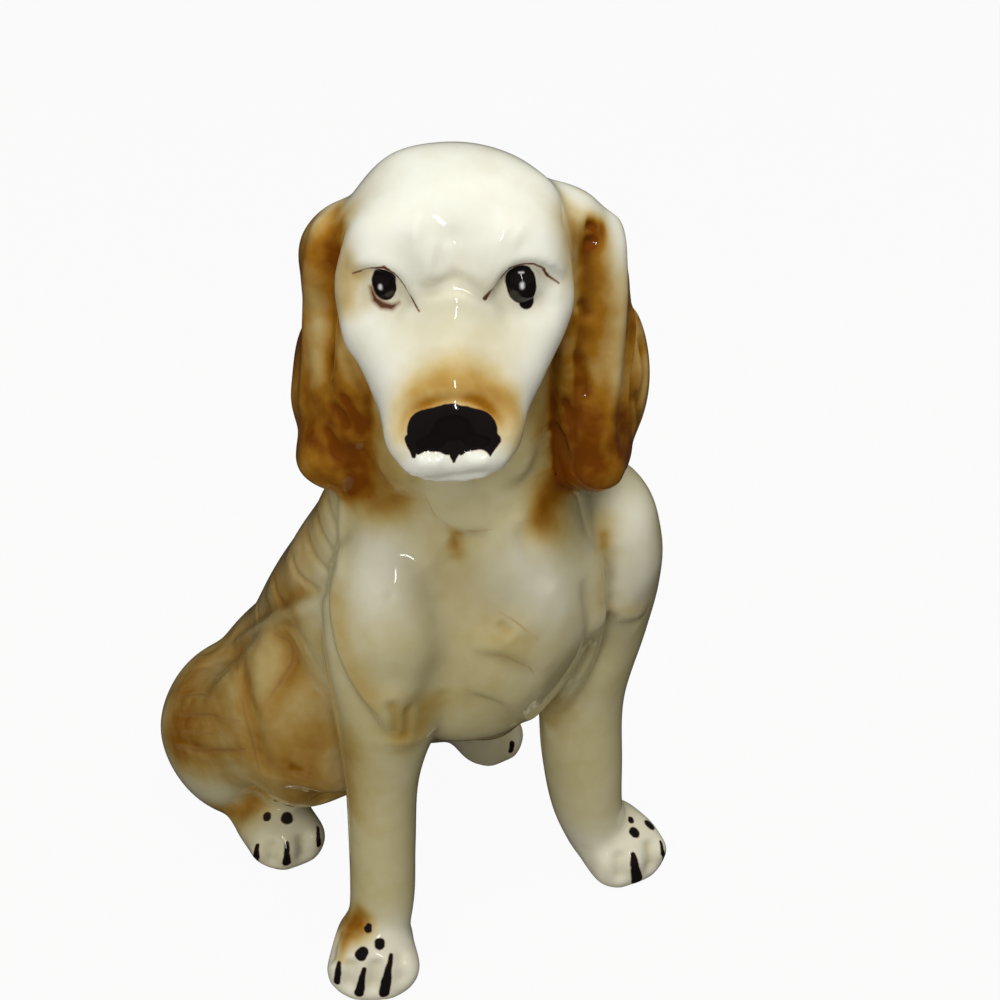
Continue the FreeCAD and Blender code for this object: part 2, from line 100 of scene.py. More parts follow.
def tube(rows, along=70, around=56):
    rows = alongRows(np.array(rows, float), along)
    centre, half, over, below = rows[:, :3], rows[:, 3:4], rows[:, 4:5], rows[:, 5:6]
    normal = unit(rows[:, 6:9])
    across = rows[:, 9:12]
    across = unit(across - normal * (across * normal).sum(1, keepdims=True))
    rising = np.cross(normal, across)
    angle = np.arange(around) * 2 * np.pi / around
    depth = np.where(np.sin(angle) > 0, over, below)
    points = (centre[:, None] + across[:, None] * (half * np.cos(angle))[..., None]
              + rising[:, None] * (depth * np.sin(angle))[..., None]).reshape(-1, 3)
    points = np.concatenate([points, centre[:1], centre[-1:]])
    i, j = np.meshgrid(np.arange(along - 1), np.arange(around), indexing="ij")
    k = (j + 1) % around
    ring, onward = i * around, (i + 1) * around
    sides = np.stack([ring + j, ring + k, onward + k, onward + j], -1).reshape(-1, 4)
    a = np.arange(around)
    b = (a + 1) % around
    last = (along - 1) * around
    caps = np.concatenate([np.stack([b, a, a * 0 + along * around], -1),
                           np.stack([last + a, last + b, a * 0 + along * around + 1], -1)])
    return points, sides.tolist() + caps.tolist()


def newMesh(name, points, faces):
    mesh = bpy.data.meshes.new(name)
    mesh.from_pydata((np.asarray(points) * mm).tolist(), [], faces)
    mesh.update()
    return mesh


print("camera and rings ready")

# Trunk: x, y, z, half width, back, belly, lean
trunk = {"rings": (
    (-4.8, 61.0, -4.0, 24.0, 17.2, 17.2, 0),
    (-4.8, 60.4, 4.0, 30.0, 21.8, 21.8, 0),
    (-4.2, 58.6, 13.4, 32.4, 23.4, 24.4, 8),
    (-3.6, 54.3, 26.8, 31.8, 22.4, 26.5, 18),
    (-1.8, 44.5, 44.2, 28.2, 18.2, 27.0, 27),
    (0.0, 31.1, 61.6, 28.8, 20.3, 35.9, 31),
    (1.8, 17.1, 77.7, 30.0, 22.4, 42.6, 27),
    (3.6, 7.9, 92.5, 28.8, 22.9, 36.9, 19),
    (3.0, 3.1, 105.9, 25.2, 21.3, 29.1, 14),
    (2.4, 1.2, 120.6, 22.2, 19.2, 21.8, 8),
    (2.4, 0.0, 135.3, 20.4, 17.7, 19.2, 5),
    (1.8, -1.2, 147.4, 16.8, 12.5, 15.6, 0),
)}
trunkRows = [(*r[:6], *leaned(up, right, r[6]), *right) for r in trunk["rings"]]

# Head: forward, up, half width, over, under, looking up, from the head's middle
head = {
    "middle": (-1, -4, 156), "turn": 32,
    "rings": (
        (-19.8, -1.9, 8.0, 7.0, 7.0, 0),
        (-15.8, -1.2, 15.5, 14.4, 14.0, 0),
        (-6.8, 0.0, 20.6, 19.5, 18.7, 0),
        (2.9, 0.0, 21.4, 19.9, 19.5, 0),
        (11.9, -2.3, 20.2, 17.9, 16.0, 0),
        (17.8, -8.6, 16.5, 13.0, 13.0, 10),
        (23.6, -13.4, 13.5, 11.0, 11.0, 15),
        (29.5, -15.8, 11.5, 10.3, 10.3, 15),
        (32.9, -17.3, 9.5, 8.6, 8.6, 15),
        (34.6, -17.6, 6.0, 5.3, 5.3, 15),
    ),
}
faceForward, faceAcross = turned(forward, -head["turn"]), turned(right, -head["turn"])


def atHead(ahead, aside, rise):
    return np.array(head["middle"], float) + faceForward * ahead + faceAcross * aside + up * rise


headRows = [(*atHead(r[0], 0, r[1]), r[2], r[4], r[3], *leaned(faceForward, faceAcross, -r[5]), *-faceAcross)
            for r in head["rings"]]

# Forelegs: x, y, z, half width, half depth, for each leg
forelegs = {
    "right": (
        (-16, -5, 106, 5.6, 6.1), (-16, -5.5, 100.7, 10.4, 10.7), (-16.7, -6.1, 90.1, 13.7, 14.5),
        (-17.7, -6.1, 77.4, 14, 14.5), (-19.5, -6.3, 65.7, 11.5, 12.5), (-22.4, -7.2, 47.7, 7.7, 8.7),
        (-24, -8.8, 29.7, 7, 7.8), (-25.8, -10.6, 13.8, 6.7, 7.6), (-28.6, -12, 3.2, 5.9, 6.8),
    ),
    "left": (
        (26.5, -5, 106, 6.8, 6.5), (26.5, -5.6, 100.7, 12.6, 11.5), (26.8, -6.1, 90.1, 16.7, 15.5),
        (27.3, -6.1, 77.4, 17, 15.5), (28.1, -6.4, 65.7, 13.9, 13.3), (27.4, -6.9, 47.7, 9.2, 10.8),
        (27.3, -8.4, 29.7, 8.7, 10.2), (28.2, -10.5, 13.8, 7.7, 9.2), (31.2, -12.2, 3.2, 7.1, 8.8),
    ),
}

# Paws: middle, turn, length, width and height; then shares along, half width and top
paws = {
    "rightFore": (-30, -14, 32, 22, 18.5, 14), "leftFore": (33, -14.5, 5, 22, 18.5, 14),
    "rightHind": (-31, 38, 0, 36, 18, 14), "leftHind": (28, 43, 0, 36, 18, 14),
    "shares": ((0.0, 0.22, 0.45), (0.12, 0.38, 0.75), (0.40, 0.47, 1.0), (0.70, 0.50, 0.88), (0.92, 0.42, 0.64),
               (1.0, 0.24, 0.38)),
    "heart": 0.35, "sink": 0.5,
}


def pawRows(x, y, turn, length, width, height):
    ahead, across = turned(forward, -turn), turned(right, -turn)
    rows = []
    for along, half, top in paws["shares"]:
        rise = top * height
        centre = np.array([x, y, 0]) + ahead * (along - 0.5) * length + up * paws["heart"] * rise
        rows.append((*centre, half * width, (1 - paws["heart"]) * rise, paws["sink"] * rise, *ahead, *across))
    return rows


# Haunches: back, out, height, half width, over, under
haunches = {
    "rings": (
        (8, 23.4, 38.8, 4.3, 7.5, 6.8), (10.7, 23.4, 38.8, 9, 15.6, 13.6), (16, 23.9, 38.8, 13.3, 23.8, 19),
        (24.1, 25, 37.4, 15.9, 28.6, 22.4), (33.5, 26.3, 33.3, 17.2, 26.5, 24.5),
        (41.5, 27.6, 27.2, 18.9, 21.8, 28.6), (50.2, 27.8, 23.1, 20.6, 19.7, 28.6),
        (59.6, 27, 21.1, 20.2, 17.7, 26.5), (69.6, 25.2, 19, 14.6, 12.9, 21.8),
        (75, 23.9, 16.3, 6.9, 6.1, 10.9),
    ),
    "rightOut": 1, "leftOut": 0.81,
}

# Ears: out, back, drop, half thickness, half width as shares of the ear's sizes
ears = {
    "length": 54, "width": 25, "thickness": 11, "flare": 24,
    "rootShare": 0.22, "skullHeight": 39,
    "right": {"side": -1, "lift": 0, "flap": 22.5, "feather": 24.5, "root": 22.5},  # each form, how far out
    "left": {"side": 1, "lift": 6, "flap": 26, "feather": 28.5},
    "flap": ((0.60, 0.12, 0.03, 0.24, 0.16), (0.74, 0.12, 0.08, 0.38, 0.27), (0.87, 0.12, 0.17, 0.45, 0.36),
             (0.96, 0.12, 0.33, 0.47, 0.45), (0.97, 0.08, 0.58, 0.52, 0.50), (1.00, 0.04, 0.82, 0.55, 0.48),
             (1.03, 0.00, 0.96, 0.50, 0.38), (1.04, 0.00, 1.02, 0.28, 0.20)),
    "feather": ((0.98, 0.34, 0.42, 0.14, 0.16), (1.04, 0.36, 0.52, 0.28, 0.32), (1.10, 0.34, 0.70, 0.34, 0.42),
                (1.09, 0.28, 0.86, 0.36, 0.38), (1.03, 0.20, 0.96, 0.26, 0.26), (1.00, 0.18, 1.00, 0.14, 0.14)),
    "root": ((0.60, 0.10, -0.04, 0.25, 0.15), (0.79, 0.10, 0.01, 0.46, 0.26), (0.93, 0.10, 0.09, 0.52, 0.34),
             (0.99, 0.12, 0.28, 0.46, 0.42), (0.97, 0.12, 0.40, 0.30, 0.30)),
}


def earRows(name, form):
    side, lift, spread = (ears[name][key] for key in ("side", "lift", form))
    root = ears["rootShare"] * ears["skullHeight"] + lift
    across = turned(faceAcross, -side * ears["flare"])
    rows = []
    for out, back, drop, thick, half in ears[form]:
        centre = atHead(-back * ears["width"], side * out * spread, root - drop * (ears["length"] + lift))
        breadth = half * ears["width"]
        rows.append((*centre, thick * ears["thickness"], breadth, breadth, *-up, *across))
    return rows


# Tail: along, back, height, half width as shares; heading
tail = {
    "root": (-8, 64, 0), "reach": 50, "sweep": 21, "width": 15,
    "shares": ((0.0, 0.50, 0.60, 0.40, 8), (0.24, 0.82, 0.50, 0.50, 14), (0.50, 0.84, 0.46, 0.48, -14),
               (0.76, 0.52, 0.40, 0.40, -42), (0.94, 0.10, 0.34, 0.28, -62), (0.98, -0.04, 0.30, 0.14, -66)),
}
tailRows = []
for along, back, height, half, heading in tail["shares"]:
    centre = np.array(tail["root"]) + (along * tail["reach"], back * tail["sweep"], height * tail["width"])
    radius = half * tail["width"]
    tailRows.append((*centre, radius, radius, radius, *turned(right, heading), *turned(forward, heading)))


def legRows(rows):
    return [(*r[:4], r[4], r[4], *up, *right) for r in rows]


def haunchRows(side, share):
    return [(side * r[1] * share, r[0], *r[2:6], *forward, *right) for r in haunches["rings"]]


# Every casting of the figure, with the rings that make it
castings = {
    "trunk": [trunkRows],
    "head": [headRows],
    "right_ear": [earRows("right", form) for form in ("flap", "feather", "root")],
    "left_ear": [earRows("left", form) for form in ("flap", "feather")],
    "right_foreleg": [legRows(forelegs["right"]), pawRows(*paws["rightFore"])],
    "left_foreleg": [legRows(forelegs["left"]), pawRows(*paws["leftFore"])],
    "right_haunch": [haunchRows(-1, haunches["rightOut"])],
    "left_haunch": [haunchRows(1, haunches["leftOut"])],
    "right_hind_paw": [pawRows(*paws["rightHind"])],
    "left_hind_paw": [pawRows(*paws["leftHind"])],
    "tail": [tailRows],
}

# One skin over all the castings, as the glaze lies over them
skin = {"voxel": 0.62, "rounds": 26, "share": 0.5}


def readAll(items, name, each=1, kind=np.int32):
    values = np.empty(len(items) * each, kind)
    items.foreach_get(name, values)
    return values.reshape(-1, each)


def castSkin():
    points, faces, owner, start = [], [], [], 0
    for number, rings in enumerate(castings.values()):
        for rows in rings:
            p, f = tube(rows)
            p[:, 2] = np.maximum(p[:, 2], 0)  # the flat foot
            points.append(p)
            faces += [[start + v for v in face] for face in f]
            owner += [number] * len(p)
            start += len(p)
    points = np.concatenate(points)
    mesh = newMesh("skinDraft", points, faces)
    bm = bmesh.new()
    bm.from_mesh(mesh)
    bmesh.ops.recalc_face_normals(bm, faces=bm.faces)
    bm.to_mesh(mesh)
    bm.free()
    draft = bpy.data.objects.new("skinDraft", mesh)
    bpy.context.scene.collection.objects.link(draft)
    remesh = draft.modifiers.new("castTogether", "REMESH")
    remesh.mode = "VOXEL"
    remesh.voxel_size = skin["voxel"] * mm
    done = bpy.data.meshes.new_from_object(draft.evaluated_get(bpy.context.evaluated_depsgraph_get()))
    assert (readAll(done.polygons, "loop_total") == 4).all()
    result = (readAll(done.vertices, "co", 3, float) / mm, readAll(done.edges, "vertices", 2),
              readAll(done.loops, "vertex_index").reshape(-1, 4), points, np.array(owner))
    bpy.data.objects.remove(draft)
    bpy.data.meshes.remove(mesh)
    bpy.data.meshes.remove(done)
    return result


points, edges, quads, ringPoints, ringOwner = castSkin()
print("skin cast:", len(points), "points")

neighbours = np.bincount(edges.ravel(), minlength=len(points)).astype(float)


def spread(values):  # the mean of each point's neighbours
    values = values.reshape(len(points), -1)
    total = np.zeros_like(values)
    for a, b in (edges.T, edges.T[::-1]):
        for k in range(values.shape[1]):
            total[:, k] += np.bincount(a, values[b, k], len(points))
    return total / neighbours[:, None]


def relax(values, rounds, share=0.5):
    for _ in range(rounds):
        values = values + share * (spread(values).reshape(values.shape) - values)
    return values


# The mean of the normals of the faces round each point, by their areas
def normalsOf(p):
    a, b, c, d = (p[quads[:, k]] for k in range(4))
    n = np.cross(c - a, d - b)
    out = np.empty_like(p)
    for k in range(3):
        out[:, k] = np.bincount(quads.ravel(), np.repeat(n[:, k], 4), len(p))
    return unit(out)


points = relax(points, skin["rounds"], skin["share"])
points[:, 2] = np.maximum(points[:, 2], 0)
normals = normalsOf(points)
print("skin smoothed")

# Modelling by strokes: a width, a depth and a line through pixels of the photograph,
# shot on to the skin. Each point of the skin moves along its normal by depth *
# exp(-(distance / width)^2), up for a swell or down for a groove, which fades at its
# ends. A step rises on one side of its line and sinks on the other. Strokes marked
# both are mirrored on to the other haunch.
stroking = {
    "gap": 5, "reach": 3, "facing": 2, "fadeShare": 0.2, "fadePower": 0.7, "stepShare": 0.28,
    "largeRounds": 2, "middleRounds": 1,
}
both = 1.0  # twice the x of the plane between the haunches


def smoothPath(path):
    path = np.array(path, float)
    if len(path) < 2:
        return path
    length = np.linalg.norm(np.diff(path, axis=0), axis=1).cumsum()[-1]
    rows = np.column_stack([path, np.zeros(len(path))])
    return alongRows(rows, max(2, int(length / stroking["gap"]) + 1))[:, :2]


def skinTree():
    return BVHTree.FromPolygons(points.tolist(), quads.tolist())


def shoot(tree, path, mirror=False):
    line, facing = [], []
    for spot in smoothPath(path):
        hit, normal, _, _ = tree.ray_cast(*(Vector(v) for v in pixelRay(*spot)))
        if hit is None:
            continue
        if mirror:
            hit, normal, _, _ = tree.find_nearest(Vector((mirror - hit.x, hit.y, hit.z)))
        line.append(hit)
        facing.append(normal)
    return np.array(line).reshape(-1, 3), np.array(facing).reshape(-1, 3)


# Distance of each near point from a line: index of the points, distance, the side
# it lies on, how far along it is, and how far it faces the same way
def nearLine(line, facing, reach):
    low, high = line.min(0) - reach, line.max(0) + reach
    index = np.nonzero(((points > low) & (points < high)).all(1))[0]
    near = points[index]

    def sameWay(normal):
        return np.clip((normals[index] @ normal) * stroking["facing"], 0, 1)

    if len(line) == 1:
        distance = np.linalg.norm(near - line[0], axis=1)
        return index, distance, distance * 0, distance * 0 + 0.5, sameWay(facing[0])
    run = np.diff(line, axis=0)
    best = np.full(len(near), np.inf)
    side, along, agree = (np.zeros(len(near)) for _ in range(3))
    for k, (start, step) in enumerate(zip(line, run)):
        t = np.clip((near - start) @ step / max(step @ step, 1e-9), 0, 1)
        away = near - start - t[:, None] * step
        distance = np.linalg.norm(away, axis=1)
        closer = distance < best
        best[closer] = distance[closer]
        side[closer] = (away @ np.cross(unit(step), facing[k]))[closer]
        along[closer] = ((k + t) / len(run))[closer]
        agree[closer] = sameWay(facing[k])[closer]
    return index, best, side, along, agree


# Moves the skin's points and finds its normals again
def reshape(shift, rounds=0):
    global points, normals
    points = relax(points + shift, rounds)
    points[:, 2] = np.maximum(points[:, 2], 0)
    normals = normalsOf(points)


def carve(strokes, steps, rounds):
    tree = skinTree()
    push = np.zeros(len(points))
    for k, (width, depth, path, *more) in enumerate(strokes + steps):
        stepped = k >= len(strokes)
        for mirror in (False, *more):
            line, facing = shoot(tree, path, mirror)
            if not len(line):
                continue
            index, distance, side, along, agree = nearLine(line, facing, width * stroking["reach"])
            amount = np.exp(-(distance / width) ** 2) * agree * depth
            if len(line) > 1 and (stepped or depth < 0):
                end = np.minimum(along, 1 - along) / stroking["fadeShare"]
                amount *= np.clip(end, 0, 1) ** stroking["fadePower"]
            if stepped:
                amount *= np.tanh(side / (width * stroking["stepShare"])) * (-1 if mirror else 1)
            push[index] += amount
    reshape(normals * push[:, None], rounds)


# Pulls: a soft region goes sideways, up or towards the camera, in millimetres
def pull(moves):
    tree = skinTree()
    shift = np.zeros_like(points)
    for spot, radius, aside, rise, near in moves:
        line, facing = shoot(tree, [spot])
        if not len(line):
            continue
        index, distance, _, _, agree = nearLine(line, facing, radius * stroking["reach"])
        amount = np.exp(-(distance / radius) ** 2) * agree
        shift[index] += amount[:, None] * (camRight * aside + camUp * rise - towards * near)
    reshape(shift)


# Head: brows, eye sockets, bridge, cheeks, lips and the nose
face = {
    "pulls": (
        ((390, 445), 5, -1, 0, 0), ((520, 440), 5, 1, 0, 0), ((402, 466), 4, -1.8, -1.2, 0),
        ((508, 462), 4, 1.8, -1.2, 0), ((455, 480), 4, 0, 0.8, 0), ((455, 428), 6, 0, 0, -0.9),
        ((516, 182), 8, 1.2, 1.2, 0), ((395, 160), 7, -0.6, 0.8, 0), ((345, 474), 6, -0.8, 3.4, 0),
        ((310, 458), 7, -2.2, -0.8, 0), ((606, 470), 6, 1.4, -0.3, 0), ((545, 200), 5, 1, 1, 0),
        ((348, 292), 4, -0.6, 0, 0), ((566, 300), 4, 0.6, 0, 0),
    ),
    "large": (
        (6, 1, [(372, 240), (410, 248)]), (6, 1, [(540, 240), (500, 248)]),
        (7, 1.6, [(385, 252), (453, 258), (520, 250)]), (3.2, -1.3, [(362, 294), (385, 300), (408, 308)]),
        (3.2, -1.3, [(494, 308), (520, 304), (554, 300)]), (4.6, 1.3, [(454, 300), (453, 350), (453, 392)]),
        (6, 1, [(368, 330), (385, 360)]), (6, 1, [(548, 330), (530, 360)]),
        (4.2, 0.9, [(392, 444), (402, 464), (420, 470)]), (4.2, 0.9, [(515, 434), (508, 458), (484, 468)]),
        (4.6, 0.5, [(422, 424), (453, 418), (486, 424)]), (3.4, -0.8, [(443, 300), (438, 276)]),
        (3.4, -0.8, [(466, 300), (474, 278)]),
    ),
    "middle": (
        (2, -0.4, [(453, 225), (455, 250), (456, 285)]), (2.4, 0.9, [(414, 232), (430, 276)]),
        (2.4, 0.9, [(506, 236), (484, 280)]), (0.8, 0.25, [(417, 220), (415, 237)]),
        (0.8, 0.3, [(433, 245), (429, 272)]), (0.8, 0.3, [(449, 248), (452, 264)]),
        (0.8, 0.3, [(505, 229), (494, 246)]), (0.8, 0.3, [(491, 254), (485, 272)]),
        (0.8, 0.25, [(523, 229), (514, 244)]), (2.2, 1.4, [(384, 284), (384, 288)]),
        (2.6, 1.7, [(522, 284), (523, 290)]),
        (1.1, -0.7, [(403, 450), (405, 418), (430, 403), (455, 400), (482, 404), (499, 422), (501, 448)]),
        (1.2, -0.6, [(418, 455), (430, 450), (442, 455)]), (1.2, -0.6, [(466, 453), (477, 448), (489, 453)]),
        (1.4, 0.4, [(424, 463), (436, 462)]), (1.4, 0.4, [(471, 462), (481, 461)]),
        (1.6, -0.7, [(407, 477), (430, 482), (455, 479), (478, 477), (503, 474)]),
    ),
    "middleSteps": (
        (2.6, -1.1, [(350, 273), (371, 268), (396, 275), (408, 292), (418, 310)]),
        (2.6, 1.1, [(562, 282), (545, 268), (522, 263), (506, 271), (492, 290), (484, 303)]),
    ),
}
# Ears: the rolled rim, the trough behind it and the locks of fur at the end
earModel = {
    "pulls": (
        ((338, 232), 6, -0.8, 0.8, 0), ((585, 205), 5, 0.4, 0.8, 0), ((640, 375), 6, 1, 0, 0),
        ((298, 400), 5, -1, 0, 0),
    ),
    "large": (
        (2.8, -2.4, [(588, 222), (588, 270), (586, 330), (580, 390), (572, 430)]),
        (3, 1.3, [(600, 200), (615, 225), (620, 270), (618, 330), (612, 380), (604, 430)]),
        (3.6, 1.2, [(606, 450), (612, 476)]),
        (2.4, -2, [(346, 222), (334, 250), (328, 290), (324, 350), (322, 395)]),
        (2.8, 0.9, [(318, 230), (310, 270), (307, 330), (304, 400)]), (3.2, 1, [(312, 455), (330, 466)]),
        (3, 0.8, [(350, 330), (356, 390), (366, 430)]),
    ),
    "largeSteps": (
        (3, 1.6, [(630, 290), (632, 330), (626, 400), (634, 450)]),
    ),
    "middle": (
        (1.3, -0.8, [(326, 402), (338, 412), (348, 432)]), (1.2, -0.7, [(338, 392), (352, 412), (362, 440)]),
        (1.2, -0.7, [(322, 425), (332, 440), (338, 462)]), (1.2, -0.6, [(345, 350), (352, 372), (364, 392)]),
        (1, -0.8, [(586, 224), (598, 226)]), (1, -0.8, [(584, 243), (598, 240)]),
        (1.1, -0.6, [(578, 300), (590, 318)]), (1.2, -0.7, [(574, 350), (584, 372), (588, 400)]),
        (1.2, -0.7, [(560, 395), (570, 415), (572, 445)]), (1.2, -0.7, [(550, 420), (562, 440), (566, 462)]),
        (1.1, -0.8, [(640, 335), (646, 370), (640, 410)]), (1, -0.6, [(636, 390), (640, 420), (632, 450)]),
    ),
}
# Chest: the ruff's edge over both legs, the folds under the chin and the scallops
chest = {
    "pulls": (
        ((645, 634), 4.5, -1.8, 0.4, 0), ((596, 620), 8, 1.6, 0, 1), ((594, 560), 8, 1.4, 0, 0.6),
        ((575, 680), 7, 1.2, -0.4, 0.8),
    ),
    "large": (
        (5, -1.5, [(420, 570), (440, 610), (448, 650), (430, 700), (420, 738)]),
        (5, -1.3, [(445, 540), (470, 590), (512, 634)]), (8, 1.2, [(385, 590), (382, 640)]),
        (7, 1, [(500, 545), (548, 590), (566, 640)]), (6, 0.9, [(480, 660), (520, 690)]),
        (7, 1, [(644, 520), (646, 570)]), (4, -1, [(398, 490), (418, 525), (440, 545)]),
        (3.4, 0.9, [(396, 700), (402, 738)]),
    ),
    "largeSteps": (
        (4.4, -1.6, [(334, 560), (332, 610), (341, 657), (356, 690), (375, 715), (392, 738)]),
        (4.4, 1.9, [(602, 549), (606, 600), (604, 630), (592, 666), (570, 698), (544, 727)]),
        (3.2, -0.9, [(604, 612), (620, 622), (642, 618)]),
    ),
    "middle": (
        (1.6, -0.6, [(583, 580), (590, 620), (582, 660)]), (1.4, -0.6, [(596, 630), (584, 668), (564, 696)]),
        (1.3, -0.7, [(390, 700), (396, 722), (394, 742)]), (1.2, -0.6, [(408, 705), (408, 725), (404, 742)]),
        (1.4, 0.5, [(343, 478), (342, 520), (340, 570)]), (1.3, -0.5, [(456, 532), (454, 552)]),
        (0.9, -0.4, [(384, 600), (394, 594)]), (1, -0.5, [(498, 622), (512, 636)]),
        (1.8, -0.5, [(520, 520), (530, 560), (552, 590)]), (1.8, -0.5, [(470, 470), (490, 500), (520, 520)]),
        (1.5, -0.5, [(612, 530), (616, 560), (612, 590)]),
    ),
    "middleSteps": (
        (3.6, -0.7, [(424, 494), (440, 520), (466, 531), (492, 530)]),
        (4, -0.6, [(470, 650), (505, 656), (530, 668), (544, 690)]),
        (4, -0.5, [(465, 690), (500, 702), (530, 722), (548, 716)]),
    ),
}
# Rump: thigh, stifle, locks of fur and the flank's strands
rump = {
    "pulls": (
        ((325, 808), 5, 0, 4.2, 0), ((300, 800), 4.5, 0, 2, 0), ((170, 690), 8, 0.8, 0, 0),
        ((300, 560), 9, -1.6, 0.6, 0), ((275, 600), 8, -1.2, 0.6, 0), ((325, 510), 7, -1, 0.4, 0),
    ),
    "large": (
        (2.8, -1, [(230, 645), (238, 666), (246, 693), (251, 719), (259, 751), (272, 778)], both),
        (2.2, -0.7, [(275, 636), (289, 642), (293, 661), (281, 682), (262, 711)], both),
        (6, 1, [(314, 640), (316, 690)], both), (4, 0.8, [(266, 660), (262, 690)], both),
        (2.6, -1.4, [(212, 818), (235, 814), (250, 803), (262, 790)], both),
    ),
    "largeSteps": (
        (3.6, 1.2, [(230, 642), (256, 624), (283, 608), (308, 599), (331, 594)], both),
    ),
    "middle": (
        (1.1, -0.2, [(178, 697), (200, 690), (222, 696)], both),
        (1.1, -0.2, [(172, 718), (195, 715), (222, 722)], both),
        (1.2, -0.3, [(170, 736), (196, 747), (226, 752), (250, 748)], both),
        (1.1, -0.15, [(186, 760), (212, 766), (240, 764)], both),
        (1, -0.2, [(186, 672), (206, 668), (226, 676)], both), (1, -0.2, [(196, 655), (216, 650)], both),
        (1.1, -0.25, [(221, 650), (228, 672), (236, 695)], both),
        (1.1, -0.2, [(250, 640), (262, 650), (268, 672)], both), (1.2, -0.5, [(288, 766), (304, 773)], both),
        (1.4, -0.6, [(316, 796), (328, 806)], both), (0.9, -0.4, [(312, 492), (320, 530), (336, 560)]),
        (0.9, -0.4, [(325, 490), (330, 515), (338, 535)]), (0.9, -0.4, [(303, 515), (312, 552), (334, 580)]),
        (1, -0.4, [(288, 545), (298, 575), (322, 592)]), (1, -0.35, [(272, 575), (280, 600), (292, 612)]),
        (1, -0.35, [(256, 600), (258, 622)]),
    ),
}
# Paws: toes between the painted claws
toes = {
    "pulls": (
        ((655, 848), 4.5, 1.2, 0, 0), ((340, 965), 4.5, -1.4, 0, 0), ((410, 965), 4.5, 1.5, 0, 0),
        ((350, 985), 4.5, 0, 1, -0.5), ((375, 980), 5, 0, 0.4, -0.6), ((388, 988), 4.5, 0, 1, -0.5),
        ((316, 838), 4.5, 1, 0.3, 0), ((280, 862), 5, 0, 0.8, 0), ((488, 748), 6, 0, 2.4, 0),
        ((512, 745), 3.5, -1, 0.6, 0), ((645, 828), 4, 0.8, 0.8, 0),
    ),
    "large": (
        (1.5, -1.5, [(352, 958), (350, 975), (349, 992)]), (1.5, -1.4, [(378, 958), (374, 975), (372, 994)]),
        (1.3, -1, [(400, 950), (402, 985)]), (1.4, -1, [(340, 930), (333, 945), (331, 965)]),
        (2.6, 0.4, [(340, 972)]), (2.6, 0.3, [(362, 978)]), (2.6, 0.4, [(390, 972)]),
        (1.5, -1.2, [(618, 850), (622, 882)]), (1.5, -1.3, [(650, 838), (652, 872)]),
        (2.6, 0.8, [(635, 862)]), (2.4, 0.7, [(662, 850)]), (2.4, 0.5, [(604, 862)]),
        (1.5, -1.3, [(272, 838), (271, 866)]), (1.5, -1.3, [(303, 832), (304, 860)]),
        (2.6, 0.8, [(257, 850)]), (2.6, 0.8, [(287, 852)]), (2.4, 0.7, [(316, 838)]),
    ),
}


def allStrokes(kind):
    return [stroke for model in (face, earModel, chest, rump, toes) for stroke in model.get(kind, ())]


pull(allStrokes("pulls"))
carve(allStrokes("large"), allStrokes("largeSteps"), stroking["largeRounds"])
carve(allStrokes("middle"), allStrokes("middleSteps"), stroking["middleRounds"])
print("strokes modelled")

# Pieces: each face goes to the casting whose rings are nearest, with soft borders
sharing = {"borderRounds": 12, "maskRounds": 14, "handOvers": 60}
tree = KDTree(len(ringPoints))
for i, p in enumerate(ringPoints):
    tree.insert(p, i)
tree.balance()
names = list(castings)
nearest = np.array([ringOwner[tree.find(p)[1]] for p in points])
belongs = relax(np.eye(len(names))[nearest], sharing["borderRounds"]).argmax(1)


# Faces joined by same-owned neighbours make an island; what isn't a casting's largest
# island goes to the castings round it
def shareFaces(owner):
    ends = np.sort(np.concatenate([quads[:, [k, (k + 1) % 4]] for k in range(4)]), 1)
    key = ends[:, 0].astype(np.int64) * len(points) + ends[:, 1]
    face = np.tile(np.arange(len(quads)), 4)
    order = np.argsort(key, kind="stable")
    key, face = key[order], face[order]
    twins = np.flatnonzero(key[1:] == key[:-1])
    a, b = face[twins], face[twins + 1]
    alike = owner[a] == owner[b]
    island, after = None, np.arange(len(quads))
    while island is None or (after != island).any():
        island = after
        least = np.minimum(island[a[alike]], island[b[alike]])
        after = island.copy()
        np.minimum.at(after, a[alike], least)
        np.minimum.at(after, b[alike], least)
        after = after[after]
    size = np.bincount(island, minlength=len(quads))
    main = [max(np.unique(island[owner == k]), key=lambda one: size[one]) for k in range(len(names))]
    owner = np.where(np.isin(island, main), owner, -1)
    for _ in range(sharing["handOvers"]):
        for one, other in ((a, b), (b, a)):
            take = (owner[one] < 0) & (owner[other] >= 0)
            owner[one[take]] = owner[other[take]]
    return owner


faceOwner = shareFaces(belongs[quads[:, 0]])
print("castings told apart")


# Airbrushing, worked out on the skin: the wash is the thin khaki over the body, with
# painted shade and painted highlights put into it by its strokes; spray the brown
# colour, pool the glaze that gathers in the grooves. Strokes of negative amount take
# colour off.
tint = {
    "reach": 2.6, "round": 0.15,  # how far a stroke goes, and how far round an edge
    "backFrom": 110, "backLean": 0.35, "backEdge": (4, 16),
    "headWash": 0.06, "footWash": 0.35, "legWash": 0.48, "legHeights": (8, 22),
    "haunchWash": 0.4, "pawWash": 0.3, "backWash": 0.3,
    "bodyWash": 0.83, "haunchLess": 0.45, "backLess": 0.3, "bodyHeights": (10, 24),
    "earSpray": 0.84, "backSpray": 0.42, "haunchSpray": 0.36, "haunchHeights": (12, 26), "tailSpray": 0.5,
    "poolRounds": 3, "poolDepth": 16, "haunchPool": 0.4, "earPool": 0.45,
}


def ease(a, low, high):
    t = np.clip((a - low) / (high - low), 0, 1)
    return t * t * (3 - 2 * t)


def isPart(*parts):
    mask = sum((belongs == names.index(p)).astype(float) for p in parts)
    return relax(mask, sharing["maskRounds"])


